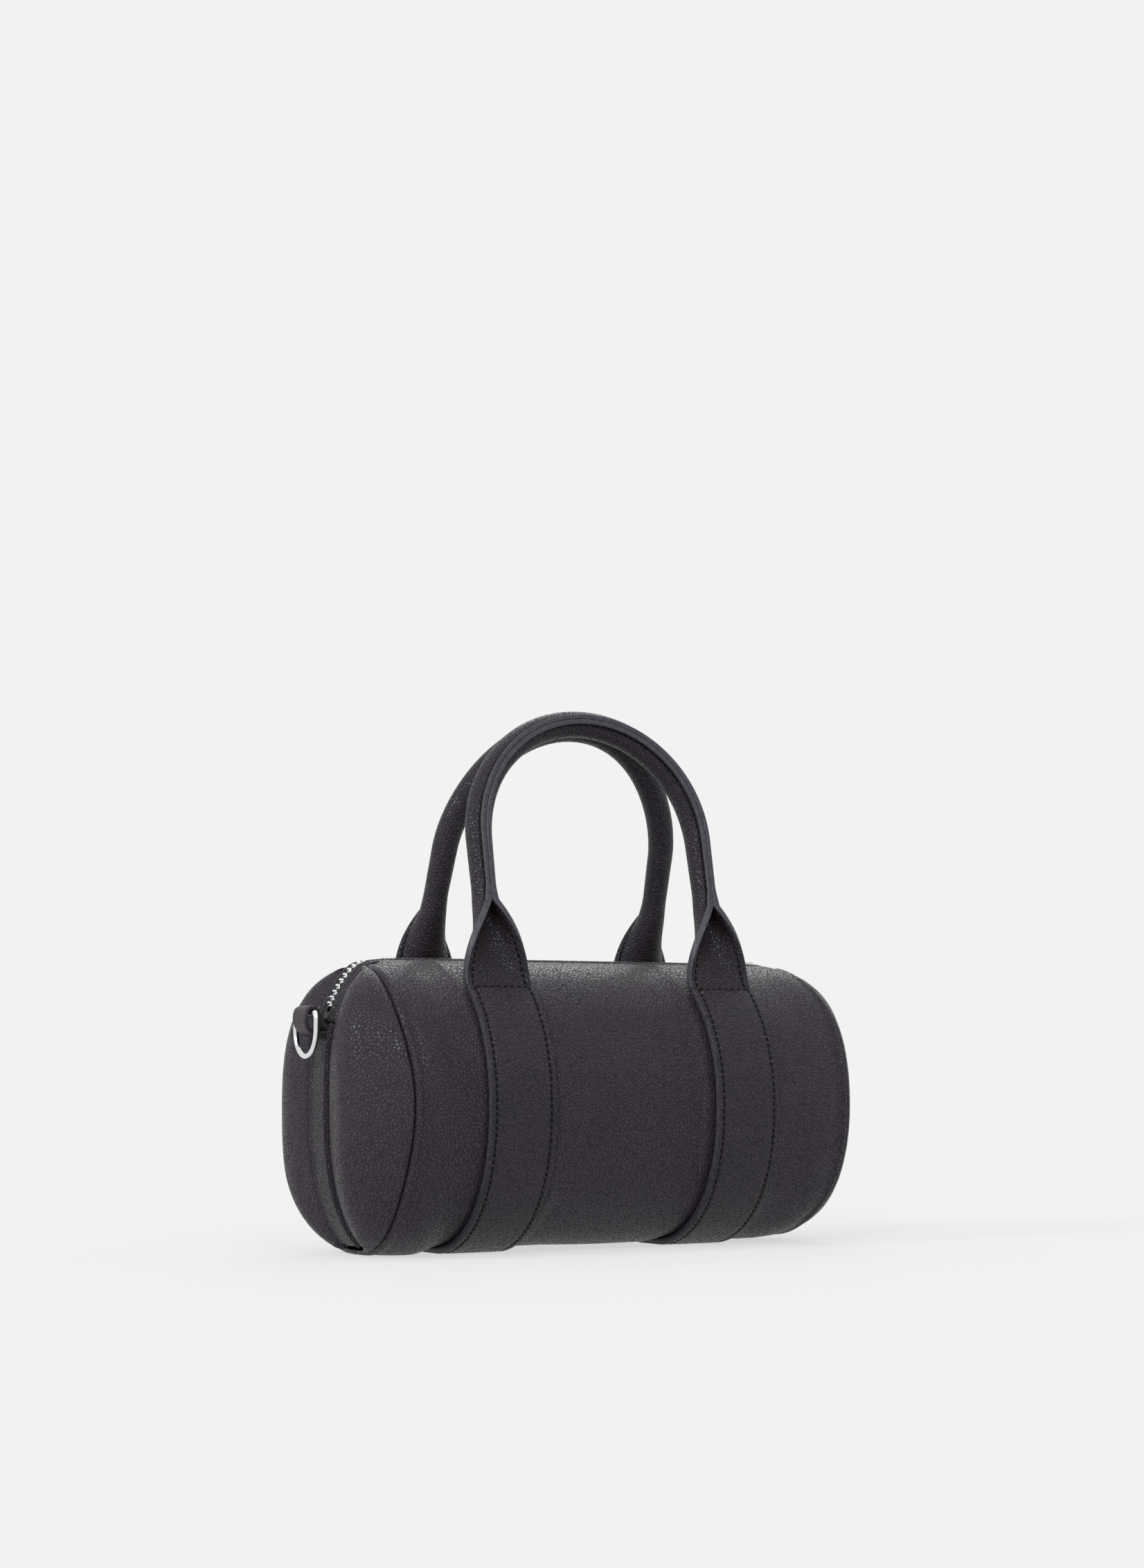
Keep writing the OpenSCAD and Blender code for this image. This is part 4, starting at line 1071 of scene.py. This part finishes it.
def smooth_curve(points, n):
    """Catmull-Rom curve through points: each span is a cubic of its four nearest points."""
    p = np.concatenate([[2 * points[0] - points[1]], points, [2 * points[-1] - points[-2]]])
    t = np.linspace(0, len(points) - 1 - 1e-6, n)
    i = np.floor(t).astype(int)
    f = (t - i)[:, None]
    a, b, c, d = p[i], p[i + 1], p[i + 2], p[i + 3]
    return 0.5 * (2 * b + (c - a) * f + (2 * a - 5 * b + 4 * c - d) * f ** 2
                  + (3 * b - a - 3 * c + d) * f ** 3)


def ring_tab(name, right):
    """A leather strip that rises from the end strip's upper edge, goes over the ring's bar, hangs
    down its outside and comes back through the ring: a flat section with round edges, carried
    along a smooth loop and narrowed a little where it passes through the ring. A slow wave
    makes its thickness a little uneven."""
    r = RING_WIRE + RING_GAP + TAB_LEATHER / 2
    over = stack(r * cos(TAB_OVER), r * sin(TAB_OVER))
    line = smooth_curve(np.concatenate([TAB_START, over, TAB_END]), 130)
    way = unit(np.gradient(line, axis=0))
    normal = stack(-way[:, 1], way[:, 0])
    share = np.linspace(0, 1, len(line))[:, None]
    w = TAB_WIDTH / 2 - TAB_NARROW * ramp(share, *TAB_NARROW_ZONE)
    t = TAB_LEATHER / 2
    e = np.linspace(-90, 90, 9)[None, :]
    flat = np.linspace(1, -1, 14)[None, 1:-1]
    edge_y, edge_t = w - t + t * cos(e) ** TAB_EDGE_BLUNT, t * sin(e) + 0 * w
    worn = 1 + TAB_WEAR * np.sin(TAB_WEAR_TURN * share)
    across = np.concatenate([edge_y, (w - t) * flat, -edge_y[:, ::-1], -(w - t) * flat], 1)
    thick = np.concatenate([edge_t, t + 0 * w * flat, edge_t[:, ::-1], -t + 0 * w * flat], 1)
    x = line[:, None, 0] + normal[:, None, 0] * thick * worn
    z = line[:, None, 1] + normal[:, None, 1] * thick * worn
    rings = stack(-(RING_X + x), across, RING_Z + z)
    if right:
        rings = mirrored(rings, 0)
    obj = tube_mesh(name + "_leather", rings, [smooth_leather], flip=not right)
    return dress(obj, "bag", "trim_leather", name)


# Lining

LINING_SLACK, SLOT_ZONE, SLACK_ZONE = 3.0, (33.5, 6), (0.4, 0.4)
POUCH_END_STEPS, POUCH_STEPS, POUCH_TURNS = 34, 61, 97


def pouch():
    """Cloth pouch inside the body: superellipse sections that shrink to each end as an ellipsoid
    does, open in a slot along the zip that closes where the end strips begin. Away from the zip
    it hangs slack by LINING_SLACK, and at the right end by as much again."""
    off = LEATHER + LINING_GAP
    t = np.linspace(0.5, 90, POUCH_END_STEPS)
    middle = np.linspace(-TURN_X, TURN_X, POUCH_STEPS)[1:-1]
    s = np.concatenate([sin(t), 1 + 0 * middle, sin(t)[::-1]])[:, None]
    left = TURN_X + (TURN_REACH - off - LINING_SLACK) * cos(t)
    right = left - LINING_SLACK * cos(t)
    x = np.concatenate([-left, middle, right[::-1]])[:, None]
    hy, hz = (HALF_D - off) * s, (HALF_H - off) * s
    slot = np.minimum(1, (STRIP_HALF + SEAM_GAP) / np.maximum(hy, 1e-6))
    gap = np.degrees(np.arcsin(slot)) * ramp(hz, *SLOT_ZONE)
    a = 90 + gap + (360 - 2 * gap) * np.linspace(0, 1, POUCH_TURNS)[None, :]
    c, q = cos(a), sin(a)
    slack = 1 - LINING_SLACK / HALF_H * (1 - ramp(q, *SLACK_ZONE))
    return stack(x, hy * slack * swell(c, q), MID_Z + hz * slack * swell(q, q))


def lining():
    points = sagged(pouch())
    rows, cols = points.shape[:2]
    obj = mesh_object("lining_cloth", points, grid_faces(rows, cols, flip=True), [lining_weave])
    solid = obj.modifiers.new("thickness", "SOLIDIFY")
    solid.thickness, solid.offset = LINING_THICKNESS / METRE, -1.0
    return dress(obj, "bag", "lining_cloth", "lining")


# Metal pieces taken from the CAD part

BEVEL_SEGMENTS, SHARP_ANGLE, WELD_WIDTH = 3, 35, 1e-6


def bevelled_copy(node, name, body, metal, width):
    """Merged copy of a rigid metal node with its edges rounded as tumbling leaves them."""
    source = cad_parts[node]
    obj = bpy.data.objects.new(name, source.data.copy())
    bpy.context.scene.collection.objects.link(obj)
    bpy.context.view_layer.objects.active = obj
    weld = obj.modifiers.new("weld", "WELD")
    weld.merge_threshold = WELD_WIDTH
    bevel = obj.modifiers.new("bevel", "BEVEL")
    bevel.width, bevel.segments, bevel.limit_method = width / METRE, BEVEL_SEGMENTS, "ANGLE"
    bevel.angle_limit = math.radians(SHARP_ANGLE)
    obj.data.materials.clear()
    obj.data.materials.append(metal)
    obj.data.polygons.foreach_set("use_smooth", np.ones(len(obj.data.polygons), bool))
    return dress(obj, body, "zip_metal", node)


# The pieces

body_panel("front_panel", False)
body_panel("back_panel", True)
ENDS = (("left_front", False, False), ("left_rear", False, True),
        ("right_front", True, False), ("right_rear", True, True))
for index, (name, right, rear) in enumerate(ENDS):
    end_panel(name + "_end_panel", right, rear, 1.3 * index)
end_strip("left_end_strip", False)
end_strip("right_end_strip", True)
for side, rear in (("front", False), ("rear", True)):
    zip_binding(side + "_zip_binding", rear)
    zip_tape(side + "_zip_tape", rear)
    zip_teeth(side + "_zip_teeth", rear)
    handle(side + "_handle", rear)
    handle_cord(side + "_handle_cord", rear)
    handle_stitches(side + "_handle_stitches", side + "_handle", rear)
for side, right, way in (("left", False, -1), ("right", True, 1)):
    zip_stop(side + "_zip_stop", right)
    strap(side + "_strap", way * STRAP_SPREAD / 2)
    strap_stitches(side + "_strap_stitches", way * STRAP_SPREAD / 2)
    end_ring(side + "_ring", right)
    ring_tab(side + "_ring_tab", right)
lining()
bevelled_copy("zip_slider", "zip_slider_metal", "zip_slider", zip_nickel, 0.22)
bevelled_copy("zip_pull", "zip_pull_metal", "zip_pull", zip_nickel, 0.18)
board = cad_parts["base_board"]
board.data.materials.clear()
board.data.materials.append(fibreboard)


# Floor, light and camera

BACKDROP, SKY = linear("#f2f2f2"), 0.44
FLOOR_RADIUS, FLOOR_STEPS, PLAIN_FROM, PLAIN_TO, PLAIN_LEAST = 4.0, 64, 0.35, 0.8, 0.7
CAMERA_PLACE, LENS, SENSOR = (-0.61207, -1.11456, 0.0782), 60.55, 36
CAMERA_TURNS = (("Z", -28.83676), ("X", 96.43089), ("Z", -0.38584))


def ray_share(tree, *kinds):
    """Value that is 1 for rays of any of the given kinds, and 0 for others."""
    rays = add(tree, "LightPath").node
    seen = rays.outputs[kinds[0]]
    for kind in kinds[1:]:
        seen = add(tree, "Math", {0: seen, 1: rays.outputs[kind]}, operation="MAXIMUM")
    return seen


def floor_material():
    """Matt studio paper. Round the object it takes light and shadow, and further out it turns
    into the plain backdrop."""
    m, tree, coords = start_material("studio_paper")
    distance = add(tree, "VectorMath", {0: coords}, "Value", operation="LENGTH")
    far = add(tree, "MapRange", {"Value": distance, "From Min": PLAIN_FROM,
                                 "From Max": PLAIN_TO}, interpolation_type="SMOOTHSTEP")
    least = add(tree, "Math", {0: far, 1: PLAIN_LEAST}, operation="MAXIMUM")
    seen = ray_share(tree, "Is Camera Ray", "Is Glossy Ray")
    share = add(tree, "Math", {0: least, 1: seen}, operation="MULTIPLY")
    paper = add(tree, "BsdfDiffuse", {"Color": BACKDROP})
    plain = add(tree, "Emission", {"Color": BACKDROP, "Strength": 1.0})
    both = add(tree, "MixShader", {0: share, 1: paper, 2: plain})
    add(tree, "OutputMaterial", {"Surface": both})
    return m


turn = np.linspace(0, 360, FLOOR_STEPS, endpoint=False)
edge = stack(cos(turn), sin(turn), 0) * FLOOR_RADIUS * METRE
floor = mesh_object("floor", edge, [list(range(FLOOR_STEPS))], [floor_material()])

world = bpy.data.worlds.new("studio")
bpy.context.scene.world = world
world.use_nodes = True
tree = world.node_tree
tree.nodes.clear()
seen = ray_share(tree, "Is Camera Ray", "Is Glossy Ray", "Is Transmission Ray")
shade = add(tree, "Mix", {0: seen, 6: (SKY, SKY, SKY, 1), 7: BACKDROP}, 2, data_type="RGBA")
sky = add(tree, "Background", {"Color": shade, "Strength": 1.0})
add(tree, "OutputWorld", {"Surface": sky})


def sun(name, azimuth, elevation, strength, spread):
    """Distant lamp, seen from the object at the given azimuth (0 is the front, negative its left)
    and elevation, as wide as spread in degrees."""
    lamp = bpy.data.lights.new(name, "SUN")
    lamp.energy, lamp.angle = strength, math.radians(spread)
    obj = bpy.data.objects.new(name, lamp)
    bpy.context.scene.collection.objects.link(obj)
    obj.rotation_euler = (math.radians(90 - elevation), 0, math.radians(azimuth))
    return obj


sun("key_lamp", -88, 28, 0.85, 20)
sun("seam_lamp", -48, 32, 0.6, 12)
sun("front_lamp", -8, 38, 0.45, 20)
sun("back_lamp", 150, 42, 0.6, 30)
sun("top_lamp", 0, 82, 0.35, 40)

camera = bpy.data.objects.new("camera", bpy.data.cameras.new("camera"))
bpy.context.scene.collection.objects.link(camera)
camera.location = CAMERA_PLACE
heading = Matrix.Identity(3)
for axis, degrees in CAMERA_TURNS:
    heading = heading @ Matrix.Rotation(math.radians(degrees), 3, axis)
camera.rotation_euler = heading.to_euler()
camera.data.sensor_width, camera.data.lens = SENSOR, LENS
camera.data.clip_start, camera.data.clip_end = 0.05, 20
bpy.context.scene.camera = camera
bpy.context.scene.view_settings.view_transform = "Standard"

bpy.context.view_layer.update()
